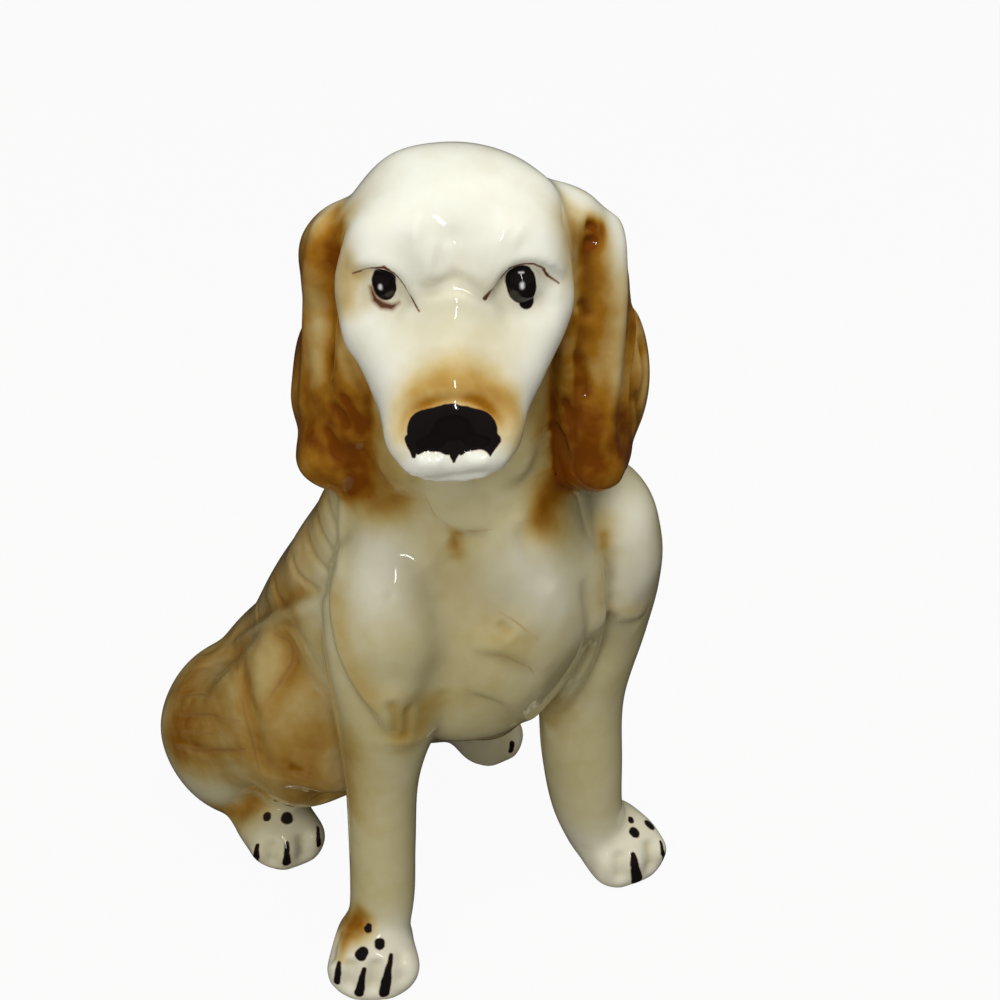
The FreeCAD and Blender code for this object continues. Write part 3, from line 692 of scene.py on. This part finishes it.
def airbrush(values, strokes):
    tree = skinTree()
    for width, amount, path, *more in strokes:
        for mirror in (False, *more):
            line, facing = shoot(tree, path, mirror)
            if len(line):
                index, distance, _, _, agree = nearLine(line, facing, width * tint["reach"])
                coat = np.exp(-(distance / width) ** 2) * np.clip(agree + tint["round"], 0, 1)
                if amount > 0:
                    values[index] += (1 - values[index]) * coat * amount
                else:
                    values[index] *= 1 + coat * amount
    return values


ear = isPart("right_ear", "left_ear")
haunch = isPart("right_haunch", "left_haunch")
paw = isPart("right_hind_paw", "left_hind_paw")
foreleg = isPart("right_foreleg", "left_foreleg")
headMask = isPart("head")
x, y, z = points.T
back = ease(y - tint["backLean"] * np.maximum(z - tint["backFrom"], 0), *tint["backEdge"])
back *= (1 - headMask) * (1 - ear) * (1 - foreleg)

paint = {
    # The wash strokes are painted light: the first is painted shade on the bridge under the eyes, the three
    # that take khaki off are painted highlights on the lit bulges of the chest and shoulder
    "washAndPaintedLight": (
        (9, 0.5, [(430, 330), (453, 320), (480, 330)]), (7, -0.5, [(375, 560), (370, 600)]),
        (8, -0.6, [(640, 520), (648, 580)]), (7, -0.4, [(530, 560), (560, 600)]),
    ),
    "spray": (
        (5, 0.42, [(418, 402), (434, 384), (455, 374), (478, 382), (496, 404)]),
        (3.2, 0.5, [(428, 396), (455, 388), (482, 396)]), (3, 0.22, [(500, 404), (514, 430)]),
        (2.4, 0.2, [(404, 412), (398, 432)]), (2.6, 0.25, [(510, 400), (520, 430), (516, 450)]),
        (2.4, 0.15, [(398, 430), (398, 455)]),
        (5, 0.35, [(566, 225), (572, 260), (574, 320), (566, 360), (556, 390)]),
        (4, 0.25, [(346, 215), (340, 250), (342, 300)]),
        (8, -0.95, [(556, 180), (580, 196), (604, 206), (620, 235)]),
        (4.5, -0.45, [(622, 250), (624, 300), (621, 350), (616, 390)]), (6, 0.7, [(604, 436), (609, 474)]),
        (3.4, -0.6, [(318, 218), (335, 203), (350, 196)]),
        (3, 0.6, [(592, 240), (590, 270), (588, 330), (582, 380)]), (1.6, 0.8, [(588, 224), (600, 228)]),
        (1.8, 0.7, [(598, 242), (586, 248)]), (6, 0.6, [(612, 478), (606, 450)]),
        (5, 0.6, [(585, 400), (580, 440)]), (7, 0.5, [(570, 400), (566, 450)]),
        (5, -0.35, [(640, 340), (646, 400)]), (3, 0.4, [(632, 320), (644, 345)]),
        (4, -0.1, [(306, 240), (303, 300), (302, 330)]), (7, 0.4, [(306, 430), (325, 475)]),
        (7, 0.3, [(340, 440), (350, 480)]), (7, 0.3, [(590, 440), (600, 480)]),
        (4, 0.3, [(322, 250), (318, 380)]), (2.2, 0.6, [(340, 225), (330, 260), (328, 310)]),
        (4, 0.7, [(345, 440), (360, 470)]), (3, -0.3, [(345, 290), (347, 340), (352, 372)]),
        (3.4, -0.4, [(318, 300), (316, 370)]), (7, 0.5, [(560, 430), (572, 470)]),
        (5, 0.55, [(556, 490), (552, 520)]), (3, 0.4, [(545, 500), (538, 520)]),
        (5.5, 0.5, [(376, 440), (385, 480)]), (4, 0.4, [(390, 500), (372, 500)]),
        (3, 0.3, [(352, 480), (350, 500)]), (1.6, 0.35, [(456, 532), (456, 552)]),
        (1.2, 0.4, [(604, 535), (604, 545)]), (8, 0.45, [(185, 680), (178, 740)], both),
        (7, 0.25, [(215, 690), (210, 745)], both), (6, -0.7, [(190, 800), (225, 795)], both),
        (2.6, 0.2, [(168, 738), (196, 748), (226, 753), (248, 748)], both),
        (2.6, 0.15, [(176, 718), (195, 716), (222, 722)], both),
        (2.6, 0.15, [(180, 692), (200, 690), (222, 696)], both),
        (2.6, 0.25, [(284, 636), (293, 652), (291, 670), (279, 692), (264, 712)], both),
        (4, 0.25, [(240, 640), (252, 690)], both), (4, 0.2, [(322, 640), (330, 690)], both),
        (5, -0.4, [(312, 625), (312, 660)], both), (5, -0.3, [(270, 650), (262, 690)], both),
        (2.6, 0.2, [(234, 645), (240, 677), (250, 723), (264, 756)], both),
        (4, 0.5, [(222, 812), (243, 815), (256, 800)], both), (3, 0.5, [(322, 806), (329, 820)], both),
        (5, 0.25, [(295, 770), (320, 740)], both), (7, 0.3, [(300, 780), (330, 800)], both),
        (5, 0.3, [(345, 740), (350, 800)]), (3.5, 0.6, [(345, 922), (358, 926)]),
        (2.2, 0.5, [(362, 915), (350, 935)]), (1.4, 0.5, [(345, 934), (341, 958)]),
        (3, 0.2, [(346, 880), (350, 900)]), (3, 0.25, [(400, 708), (402, 735)]),
        (4, 0.22, [(430, 705), (415, 740)]), (4, 0.2, [(556, 700), (530, 735)]),
        (3, 0.25, [(334, 600), (345, 660), (368, 705)]), (3, 0.2, [(603, 520), (604, 600)]),
        (2.4, 0.2, [(612, 612), (636, 612)]), (5, 0.12, [(450, 560), (480, 620), (520, 650)]),
        (3, 0.3, [(352, 268), (344, 300)]),
    ),
}
washAndPaintedLight = tint["headWash"] * headMask + tint["haunchWash"] * haunch + tint["pawWash"] * paw
washAndPaintedLight += tint["backWash"] * back + foreleg * (tint["footWash"] + tint["legWash"] * ease(z, *tint["legHeights"]))
bodyWash = tint["bodyWash"] * (1 - tint["haunchLess"] * haunch) * (1 - tint["backLess"] * back)
bodyWash *= (1 - headMask) * (1 - ear) * (1 - paw) * ease(z, *tint["bodyHeights"])
# the wash strokes add painted shade and painted highlights to the khaki
washAndPaintedLight = np.clip(airbrush(np.maximum(washAndPaintedLight, bodyWash), paint["washAndPaintedLight"]), 0, 1)
spray = tint["earSpray"] * ear + tint["backSpray"] * back * (1 - haunch) * (1 - paw)
spray += tint["haunchSpray"] * haunch * ease(z, *tint["haunchHeights"]) + tint["tailSpray"] * isPart("tail")
spray = np.clip(airbrush(spray, paint["spray"]), 0, 1)
hollow = ((spread(points) - points) * normals).sum(1)  # above 0 in a groove
pool = np.clip(relax(hollow, tint["poolRounds"]) * tint["poolDepth"], -1, 1)
pool *= 1 - tint["haunchPool"] * haunch - tint["earPool"] * ear
print("airbrushed")


# A shader node of one kind, with its settings, and the values or links that go in
def addNode(tree, kind, inputs=(), **settings):
    node = tree.nodes.new("ShaderNode" + kind)
    for key, value in settings.items():
        setattr(node, key, value)
    for socket, value in dict(inputs).items():
        if isinstance(value, bpy.types.NodeSocket):
            tree.links.new(value, node.inputs[socket])
        else:
            node.inputs[socket].default_value = value
    return node


def number(tree, kind, *values, clamp=False):
    return addNode(tree, "Math", enumerate(values), operation=kind, use_clamp=clamp).outputs[0]


def blended(tree, kind, share, a, b):
    return addNode(tree, "Mix", {0: share, 6: a, 7: b}, data_type="RGBA", blend_type=kind).outputs[2]


def newGroup(name, given, result):
    group = bpy.data.node_groups.new(name, "ShaderNodeTree")
    for way, sockets in (("INPUT", given), ("OUTPUT", result)):
        for label, kind in sockets.items():
            group.interface.new_socket(label, in_out=way, socket_type="NodeSocket" + kind)
    return group, group.nodes.new("NodeGroupInput").outputs, group.nodes.new("NodeGroupOutput").inputs


def newMaterial(name):
    material = bpy.data.materials.new(name)
    material.use_nodes = True
    return material, material.node_tree, material.node_tree.nodes["Principled BSDF"]


# Glaze over airbrushed colour, shared by every casting: the khaki wash with its painted
# shade and highlights and the brown ramp by their attributes, cloudy like sprayed colour, darker where it
# gathers
glazeTone = {
    "cream": (0.79, 0.79, 0.70, 1), "khaki": (0.46, 0.385, 0.165, 1),
    "brown": ((0.0, (1, 1, 1, 1)), (0.25, (0.83, 0.70, 0.46, 1)), (0.5, (0.64, 0.42, 0.15, 1)),
              (0.75, (0.42, 0.185, 0.016, 1)), (1.0, (0.21, 0.055, 0.002, 1))),
    "cloud": 55.0, "fine": 275.0, "fineShare": 0.4, "cloudiness": 0.9, "bareUnrest": 0.12, "washUnrest": 0.5,
    "leastPool": -0.5, "barePool": 0.25, "poolShare": 0.3,
    "roughness": 0.07, "ior": 1.52, "bump": 0.05, "bumpDepth": 0.0006,
}


def glazeGroup():
    tree, given, result = newGroup("airbrushedGlaze", {"Cream": "Color", "Cloudiness": "Float"},
                                   {"Colour": "Color", "Height": "Float"})
    place = addNode(tree, "TexCoord").outputs["Object"]
    sprayed, washedWithPaintedLight, pooled = (addNode(tree, "Attribute", attribute_name=name).outputs["Fac"]
                               for name in ("spray", "washAndPaintedLight", "pool"))

    def noise(scale, detail):  # from -0.5 to 0.5
        grain = addNode(tree, "TexNoise", {"Vector": place, "Scale": scale, "Detail": detail})
        return number(tree, "SUBTRACT", grain.outputs["Fac"], 0.5)

    cloud, fine = noise(glazeTone["cloud"], 3), noise(glazeTone["fine"], 2)
    unrest = number(tree, "ADD", cloud, number(tree, "MULTIPLY", fine, glazeTone["fineShare"]))
    unrest = number(tree, "MULTIPLY", unrest, given["Cloudiness"])
    speckled = number(tree, "MULTIPLY", unrest, number(tree, "ADD", sprayed, glazeTone["bareUnrest"]))
    gathered = number(tree, "MULTIPLY", number(tree, "MAXIMUM", pooled, glazeTone["leastPool"]),
                      number(tree, "ADD", sprayed, glazeTone["barePool"]))
    brown = number(tree, "ADD", number(tree, "ADD", sprayed, speckled),
                   number(tree, "MULTIPLY", gathered, glazeTone["poolShare"]))
    ramp = addNode(tree, "ValToRGB", {"Fac": brown})
    stops = ramp.color_ramp.elements
    for k, (at, colour) in enumerate(glazeTone["brown"]):
        stop = stops[k] if k < len(stops) else stops.new(at)
        stop.position, stop.color = at, colour
    # the khaki share: the wash with its painted shade and highlights, made cloudy
    khaki = number(tree, "ADD", washedWithPaintedLight, number(tree, "MULTIPLY", unrest, glazeTone["washUnrest"]))
    base = blended(tree, "MIX", khaki, given["Cream"], glazeTone["khaki"])
    tree.links.new(blended(tree, "MULTIPLY", 1.0, base, ramp.outputs["Color"]), result["Colour"])
    tree.links.new(cloud, result["Height"])
    return tree


glazeNodes = glazeGroup()


def glazed(name):
    material, tree, shader = newMaterial(name)
    coat = addNode(tree, "Group", node_tree=glazeNodes)
    coat.inputs["Cream"].default_value = glazeTone["cream"]
    coat.inputs["Cloudiness"].default_value = glazeTone["cloudiness"]
    bump = addNode(tree, "Bump", {"Strength": glazeTone["bump"], "Distance": glazeTone["bumpDepth"],
                                  "Height": coat.outputs["Height"]})
    shader.inputs["Roughness"].default_value = glazeTone["roughness"]
    shader.inputs["IOR"].default_value = glazeTone["ior"]
    tree.links.new(coat.outputs["Colour"], shader.inputs["Base Color"])
    tree.links.new(bump.outputs["Normal"], shader.inputs["Normal"])
    return material


# Painted marks: a brush stroke is the space within a radius of a straight run, and
# the radius changes evenly from one end of the run to the other. Lengths in metres.
brush = {
    "wobble": 0.0006, "wobbleScale": 420, "wobbleDetail": 2, "edge": 0.3,
    "step": 5, "longStep": 60, "search": (200, 440, 2),
    "thin": (0.20, 0.055, 0.02), "thick": (0.007, 0.005, 0.005),
    "lineThin": (0.36, 0.20, 0.09), "lineThick": (0.11, 0.04, 0.02),
    # grey-white of the painted highlights in the eyes
    "paintedHighlightThin": (0.3, 0.3, 0.3), "paintedHighlightThick": (0.6, 0.6, 0.6),
}


def brushGroup():
    tree, given, result = newGroup(
        "brushStroke", {"Place": "Vector", "From": "Vector", "To": "Vector", "Start radius": "Float",
                        "End radius": "Float", "Softness": "Float"}, {"Mask": "Float"})

    def vector(kind, inputs, output="Vector"):
        return addNode(tree, "VectorMath", inputs, operation=kind).outputs[output]

    run = vector("SUBTRACT", {0: given["To"], 1: given["From"]})
    away = vector("SUBTRACT", {0: given["Place"], 1: given["From"]})
    length = number(tree, "MAXIMUM", vector("DOT_PRODUCT", {0: run, 1: run}, "Value"), 1e-12)
    share = number(tree, "DIVIDE", vector("DOT_PRODUCT", {0: away, 1: run}, "Value"), length, clamp=True)
    nearest = vector("SCALE", {0: run, "Scale": share})
    distance = vector("LENGTH", {0: vector("SUBTRACT", {0: away, 1: nearest})}, "Value")
    growth = number(tree, "SUBTRACT", given["End radius"], given["Start radius"])
    radius = number(tree, "MULTIPLY_ADD", share, growth, given["Start radius"])
    inner = number(tree, "DIVIDE", number(tree, "SUBTRACT", radius, distance), given["Softness"])
    tree.links.new(number(tree, "ADD", inner, 0.5, clamp=True), result["Mask"])
    return tree


brushNodes = brushGroup()
markTree = skinTree()


def onSkin(pixel):  # the place under a pixel of the photograph, in metres, and a pixel's size there
    origin, ray = pixelRay(*pixel)
    hit, _, _, distance = markTree.ray_cast(Vector(origin), Vector(ray))
    if hit is None:  # just outside the outline: the place that passes nearest
        tries = [(markTree.find_nearest(Vector(origin + ray * t)), t) for t in range(*brush["search"])]
        (hit, _, _, _), distance = min(tries, key=lambda one: one[0][3])
    return (np.array(hit) + standing) * mm, distance / focal * mm


# Paints lines over a glaze. Each has the softness of its edge and then x, y and the
# radius at each of its places, all in pixels; wipes take paint off again. A line goes
# on in short steps, so that it follows the skin.
def paintMarks(material, lines, wipes=(), thin=brush["thin"], thick=brush["thick"], most=1.0,
               step=brush["longStep"]):
    tree = material.node_tree
    colour = tree.nodes["Principled BSDF"].inputs["Base Color"]
    under = colour.links[0].from_socket
    place = addNode(tree, "TexCoord").outputs["Object"]
    noise = addNode(tree, "TexNoise", {"Vector": place, "Scale": brush["wobbleScale"],
                                       "Detail": brush["wobbleDetail"]})
    shaken = addNode(tree, "VectorMath", operation="MULTIPLY_ADD")
    tree.links.new(noise.outputs["Color"], shaken.inputs[0])
    shaken.inputs[1].default_value = (brush["wobble"],) * 3
    tree.links.new(place, shaken.inputs[2])

    def stroke(first, last, soft):
        (a, pixel), (b, _) = onSkin(first[:2]), onSkin(last[:2])
        node = addNode(tree, "Group", node_tree=brushNodes)
        tree.links.new(shaken.outputs[0], node.inputs["Place"])
        node.inputs["From"].default_value = a + brush["wobble"] / 2
        node.inputs["To"].default_value = b + brush["wobble"] / 2
        for socket, size in (("Start radius", first[2]), ("End radius", last[2]), ("Softness", soft)):
            node.inputs[socket].default_value = size * pixel
        return node.outputs["Mask"]

    def painted(lines):
        total = None
        for soft, *spots in lines:
            spots = np.array(spots, float)
            for a, b in zip(spots, spots[1:]):
                steps = max(1, round(float(np.linalg.norm((b - a)[:2])) / step))
                at = [a + t * (b - a) for t in np.linspace(0, 1, steps + 1)]
                for first, last in zip(at, at[1:]):
                    mask = stroke(first, last, soft)
                    total = mask if total is None else number(tree, "MAXIMUM", total, mask)
        return total

    mask = painted(lines)
    if wipes:
        mask = number(tree, "SUBTRACT", mask, painted(wipes), clamp=True)
    ramp = addNode(tree, "ValToRGB", {"Fac": mask})
    ramp.color_ramp.elements[0].position = brush["edge"]
    for stop, tone in zip(ramp.color_ramp.elements, (thin, thick)):
        stop.color = (*tone, 1)
    share = number(tree, "MULTIPLY", mask, most)
    tree.links.new(blended(tree, "MIX", share, under, ramp.outputs["Color"]), colour)
    return material


marks = {
    "head": {
        "strokes": (
            (1.5, (383, 281, 13.5), (384, 289, 13)), (1.5, (521, 281, 16), (523, 291, 16.5)),
            (1.5, (526, 294, 11), (527, 302, 8)), (1.5, (428, 431, 22), (452, 426, 23)),
            (1.5, (452, 426, 23), (476, 431, 22)), (1.5, (424, 438, 18), (481, 438, 18)),
            (1.5, (455, 445, 10), (454, 461, 2)), (1.5, (411, 440, 7.5), (414, 456, 2.5)),
            (1.5, (494, 440, 7.5), (489, 456, 2.5)),
        ),
        "wipes": ((1.5, (427, 463, 11.5), (437, 463, 11)), (1.5, (471, 462, 11), (480, 461, 11.5))),
        # painted highlights: grey-white dots in the black of both eyes and a short streak at the top of the
        # right one, for a lamp's reflection
        "spots": (
            (2.5, (380, 286, 2), (380, 288, 2)), (3, (522, 284, 2.6), (522, 287, 2.6)),
            (1.5, (519, 272, 1), (523, 272, 1)),
        ),
        "lines": (
            (1.5, (353, 273, 1), (371, 268, 1.8), (384, 267, 2), (397, 276, 1.8), (408, 292, 2), (419, 311, 1)),
            (1.5, (485, 298, 2.4), (493, 289, 2), (501, 278, 1.7), (510, 268, 1.6), (522, 264, 1.6),
             (534, 264, 2), (543, 268, 1.8), (548, 276, 1.6), (559, 283, 0.9)),
            (5, (371, 288, 2.2), (375, 299, 3.6), (383, 305, 4.6), (391, 307, 3.6), (399, 303, 1.4)),
        ),
    },
    "right_foreleg": {
        "strokes": (
            (1.5, (369, 926, 3.2), (368, 929, 4.2)), (1.5, (380, 943, 5), (380, 945, 5)),
            (1.5, (363, 952, 5.5), (361, 955, 6)), (1.5, (339, 963, 2.4), (337, 982, 3.6)),
            (1.5, (364, 969, 2.2), (359, 993, 5)), (1.5, (391, 956, 2.4), (384, 993, 5.5)),
        ),
    },
    "left_foreleg": {
        "strokes": (
            (1.5, (631, 819, 3), (631, 821, 3.2)), (1.5, (649, 824, 5), (651, 826, 4.5)),
            (1.5, (634, 832, 5), (635, 833, 5)), (1.5, (633, 854, 2.6), (637, 880, 6.5)),
            (1.5, (661, 842, 1.8), (664, 858, 3)),
        ),
    },
    "right_hind_paw": {
        "strokes": (
            (1.5, (267, 816, 4.2), (267, 818, 4.2)), (1.5, (287, 817, 5.6), (287, 819, 5.8)),
            (1.5, (257, 846, 2.4), (256, 860, 4)), (1.5, (287, 844, 2.4), (287, 863, 4.4)),
            (1.5, (318, 828, 2.2), (319, 844, 3.4)),
        ),
    },
    "left_hind_paw": {
        "strokes": ((1.5, (512, 744, 3.5), (511, 750, 3.5)),),
    },
    "right_haunch": {
        "strokes": (
            (5, (231, 642, 1.5), (238, 667, 3), (243, 704, 2.4), (251, 736, 3.2), (259, 768, 1.8)),
            (5, (275, 634, 1.5), (291, 642, 2.8), (293, 661, 3.4), (280, 683, 2.8), (262, 711, 1.2)),
            (3.5, (178, 697, 1.2), (200, 694, 2), (219, 699, 0.9)),
            (3.5, (180, 715, 1.2), (208, 714, 2.4), (240, 721, 1.2)),
            (4, (177, 746, 1.8), (205, 751, 3.4), (246, 749, 1.5)), (3, (182, 731, 1), (214, 734, 1.5)),
            (3.5, (186, 672, 1), (206, 668, 1.8), (226, 676, 1)),
            (4, (262, 760, 1.4), (302, 775, 2.6), (328, 783, 1.2)),
        ),
        "thin": (0.36, 0.22, 0.08), "thick": (0.24, 0.12, 0.03), "most": 0.62,
    },
    "trunk": {
        "strokes": (
            (3, (424, 494, 0.8), (434, 514, 1.3), (450, 527, 1.1), (472, 531, 1.3), (492, 530, 0.6)),
            (3, (456, 533, 1.8), (460, 546, 0.9)), (2.5, (500, 612, 0.6), (519, 624, 1.5), (538, 640, 0.8)),
            (3, (472, 650, 0.6), (505, 656, 1.3), (530, 668, 1.3), (543, 688, 0.6)),
            (3, (440, 705, 1.5), (428, 730, 1)), (3, (466, 690, 0.5), (500, 702, 1.1), (528, 720, 0.5)),
        ),
        "thin": (0.5, 0.35, 0.16), "thick": (0.36, 0.22, 0.08), "most": 0.6,
    },
}
clearGlaze = glazed("glazedCeramic")
coats = {}
for node, work in marks.items():
    tones = {key: work[key] for key in ("thin", "thick", "most") if key in work}
    step = brush["step"] if node.endswith(("leg", "paw")) else brush["longStep"]
    coats[node] = paintMarks(glazed(node + "Painted"), work["strokes"], work.get("wipes", ()),
                             step=step, **tones)
    # brown lines, and the painted highlights in the eyes, go on over the marks
    for key, thin, thick in (("lines", "lineThin", "lineThick"), ("spots", "paintedHighlightThin", "paintedHighlightThick")):
        if key in work:
            paintMarks(coats[node], work[key], thin=brush[thin], thick=brush[thick])
print("marks painted")

rimDepth = 2  # how far in the middle of a rim lies


def addPiece(node):
    number = names.index(node)
    mine = quads[faceOwner == number]
    used, index = np.unique(mine, return_inverse=True)
    faces = index.reshape(-1, 4)
    # Rims: edges used one way only are walked round and joined to a point inside
    ends = np.concatenate([faces[:, [k, (k + 1) % 4]] for k in range(4)]).astype(np.int64)
    oneWay = ~np.isin(ends[:, 0] * len(used) + ends[:, 1], ends[:, 1] * len(used) + ends[:, 0])
    follow, loops, walk = {}, [], []
    for a, b in ends[oneWay].tolist():
        follow.setdefault(a, []).append(b)
    while follow:
        walk = walk or [next(iter(follow))]
        onward = follow[walk[-1]].pop()
        if not follow[walk[-1]]:
            del follow[walk[-1]]
        if onward in walk:
            start = walk.index(onward)
            loops.append(walk[start:])
            walk = walk[:start + (start > 0)]
        else:
            walk.append(onward)
    own = points[used] + standing
    extra, caps = [], []
    for loop in loops:
        middle = len(used) + len(extra)
        extra.append(own[loop].mean(0) - normals[used][loop].mean(0) * rimDepth)
        caps += [[loop[(k + 1) % len(loop)], loop[k], middle] for k in range(len(loop))]
    allPoints = np.concatenate([own, np.array(extra).reshape(-1, 3)])
    mesh = newMesh(node + "Glazed", allPoints, faces.tolist() + caps)
    mesh.polygons.foreach_set("use_smooth", [True] * len(mesh.polygons))
    smooth = mesh.attributes.new("custom_normal", "FLOAT_VECTOR", "POINT")
    smooth.data.foreach_set("vector", np.concatenate([normals[used], np.tile(up, (len(extra), 1))]).ravel())
    # the khaki wash with its painted shade and highlights, the brown and the pooled glaze go on to the points
    for name, values in (("washAndPaintedLight", washAndPaintedLight), ("spray", spray), ("pool", pool)):
        layer = mesh.attributes.new(name, "FLOAT", "POINT")
        layer.data.foreach_set("value", np.concatenate([values[used], np.zeros(len(extra))]))
    piece = bpy.data.objects.new(node + "Glazed", mesh)
    bpy.context.scene.collection.objects.link(piece)
    mesh.materials.append(coats.get(node, clearGlaze))
    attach(piece, "root")
    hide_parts(node)
    return piece


for node in names:
    piece = addPiece(node)
    print(node, len(piece.data.polygons), "faces")


# Floor, backdrop, camera and lamps
stageSetting = {
    "floor": (0.24, 0.23, 0.20, 1), "mirroredFloor": (0.02, 0.02, 0.02, 1), "floorRoughness": 0.9, "size": 3.0,
    "shade": 0.05, "seen": 1.0, "room": 0.20, "mirrored": 0.06,
    "warm": (0.98, 0.97, 0.86, 1), "white": (1, 1, 1, 1),
    "aim": (0, 0, 0.09),
    "lamps": {  # place, size, power and whether the glaze mirrors it
        "overhead": ((0.12, -0.18, 0.88), (0.6, 0.5), 5.0, False),
        "side": ((-0.60, -0.38, 0.34), (0.4, 0.4), 2.4, False),
        "window": ((-0.25, -0.6, 0.75), (0.03, 0.36), 1.3, True),
    },
}


def addToScene(name, data):
    thing = bpy.data.objects.new(name, data)
    bpy.context.scene.collection.objects.link(thing)
    return thing


def addFloor():
    s = stageSetting["size"]
    mesh = bpy.data.meshes.new("paleFloor")
    mesh.from_pydata([(-s, -s, 0), (s, -s, 0), (s, s, 0), (-s, s, 0)], [], [(0, 1, 2, 3)])
    material, tree, shader = newMaterial("palePaper")
    path = addNode(tree, "LightPath").outputs
    paper = blended(tree, "MIX", path["Is Glossy Ray"], stageSetting["floor"], stageSetting["mirroredFloor"])
    tree.links.new(paper, shader.inputs["Base Color"])
    shader.inputs["Roughness"].default_value = stageSetting["floorRoughness"]
    share = number(tree, "MULTIPLY", path["Is Camera Ray"], 1 - stageSetting["shade"])
    white = addNode(tree, "Emission").outputs[0]
    mixed = addNode(tree, "MixShader", {0: share, 1: shader.outputs[0], 2: white})
    tree.links.new(mixed.outputs[0], tree.nodes["Material Output"].inputs["Surface"])
    mesh.materials.append(material)
    addToScene("paleFloor", mesh)


def addCamera():
    data = bpy.data.cameras.new("photographer")
    data.lens, data.sensor_width = look["lens"], look["sensor"]
    camera = addToScene("photographer", data)
    camera.location = (camPlace + standing) * mm
    camera.rotation_euler = Vector(towards).to_track_quat("-Z", "Y").to_euler()
    bpy.context.scene.camera = camera


def addLamp(name, place, size, power, mirrored):
    data = bpy.data.lights.new(name, "AREA")
    data.shape = "RECTANGLE"
    data.size, data.size_y = size
    data.energy = power
    lamp = addToScene(name, data)
    lamp.location = place
    lamp.rotation_euler = (Vector(stageSetting["aim"]) - Vector(place)).to_track_quat("-Z", "Y").to_euler()
    lamp.visible_glossy = mirrored


def addRoom():
    world = bpy.data.worlds.new("paleRoom")
    world.use_nodes = True
    tree, room = world.node_tree, stageSetting["room"]
    background = tree.nodes["Background"].inputs
    path = addNode(tree, "LightPath").outputs
    lit = number(tree, "MULTIPLY_ADD", path["Is Glossy Ray"], stageSetting["mirrored"] - room, room)
    strength = addNode(tree, "MapRange", {"Value": path["Is Camera Ray"], "To Min": lit,
                                          "To Max": stageSetting["seen"]})
    tree.links.new(strength.outputs[0], background["Strength"])
    colour = blended(tree, "MIX", path["Is Camera Ray"], stageSetting["warm"], stageSetting["white"])
    tree.links.new(colour, background["Color"])
    bpy.context.scene.world = world


addFloor()
addCamera()
for name, lamp in stageSetting["lamps"].items():
    addLamp(name, *lamp)
addRoom()
bpy.context.scene.view_settings.view_transform = "Standard"
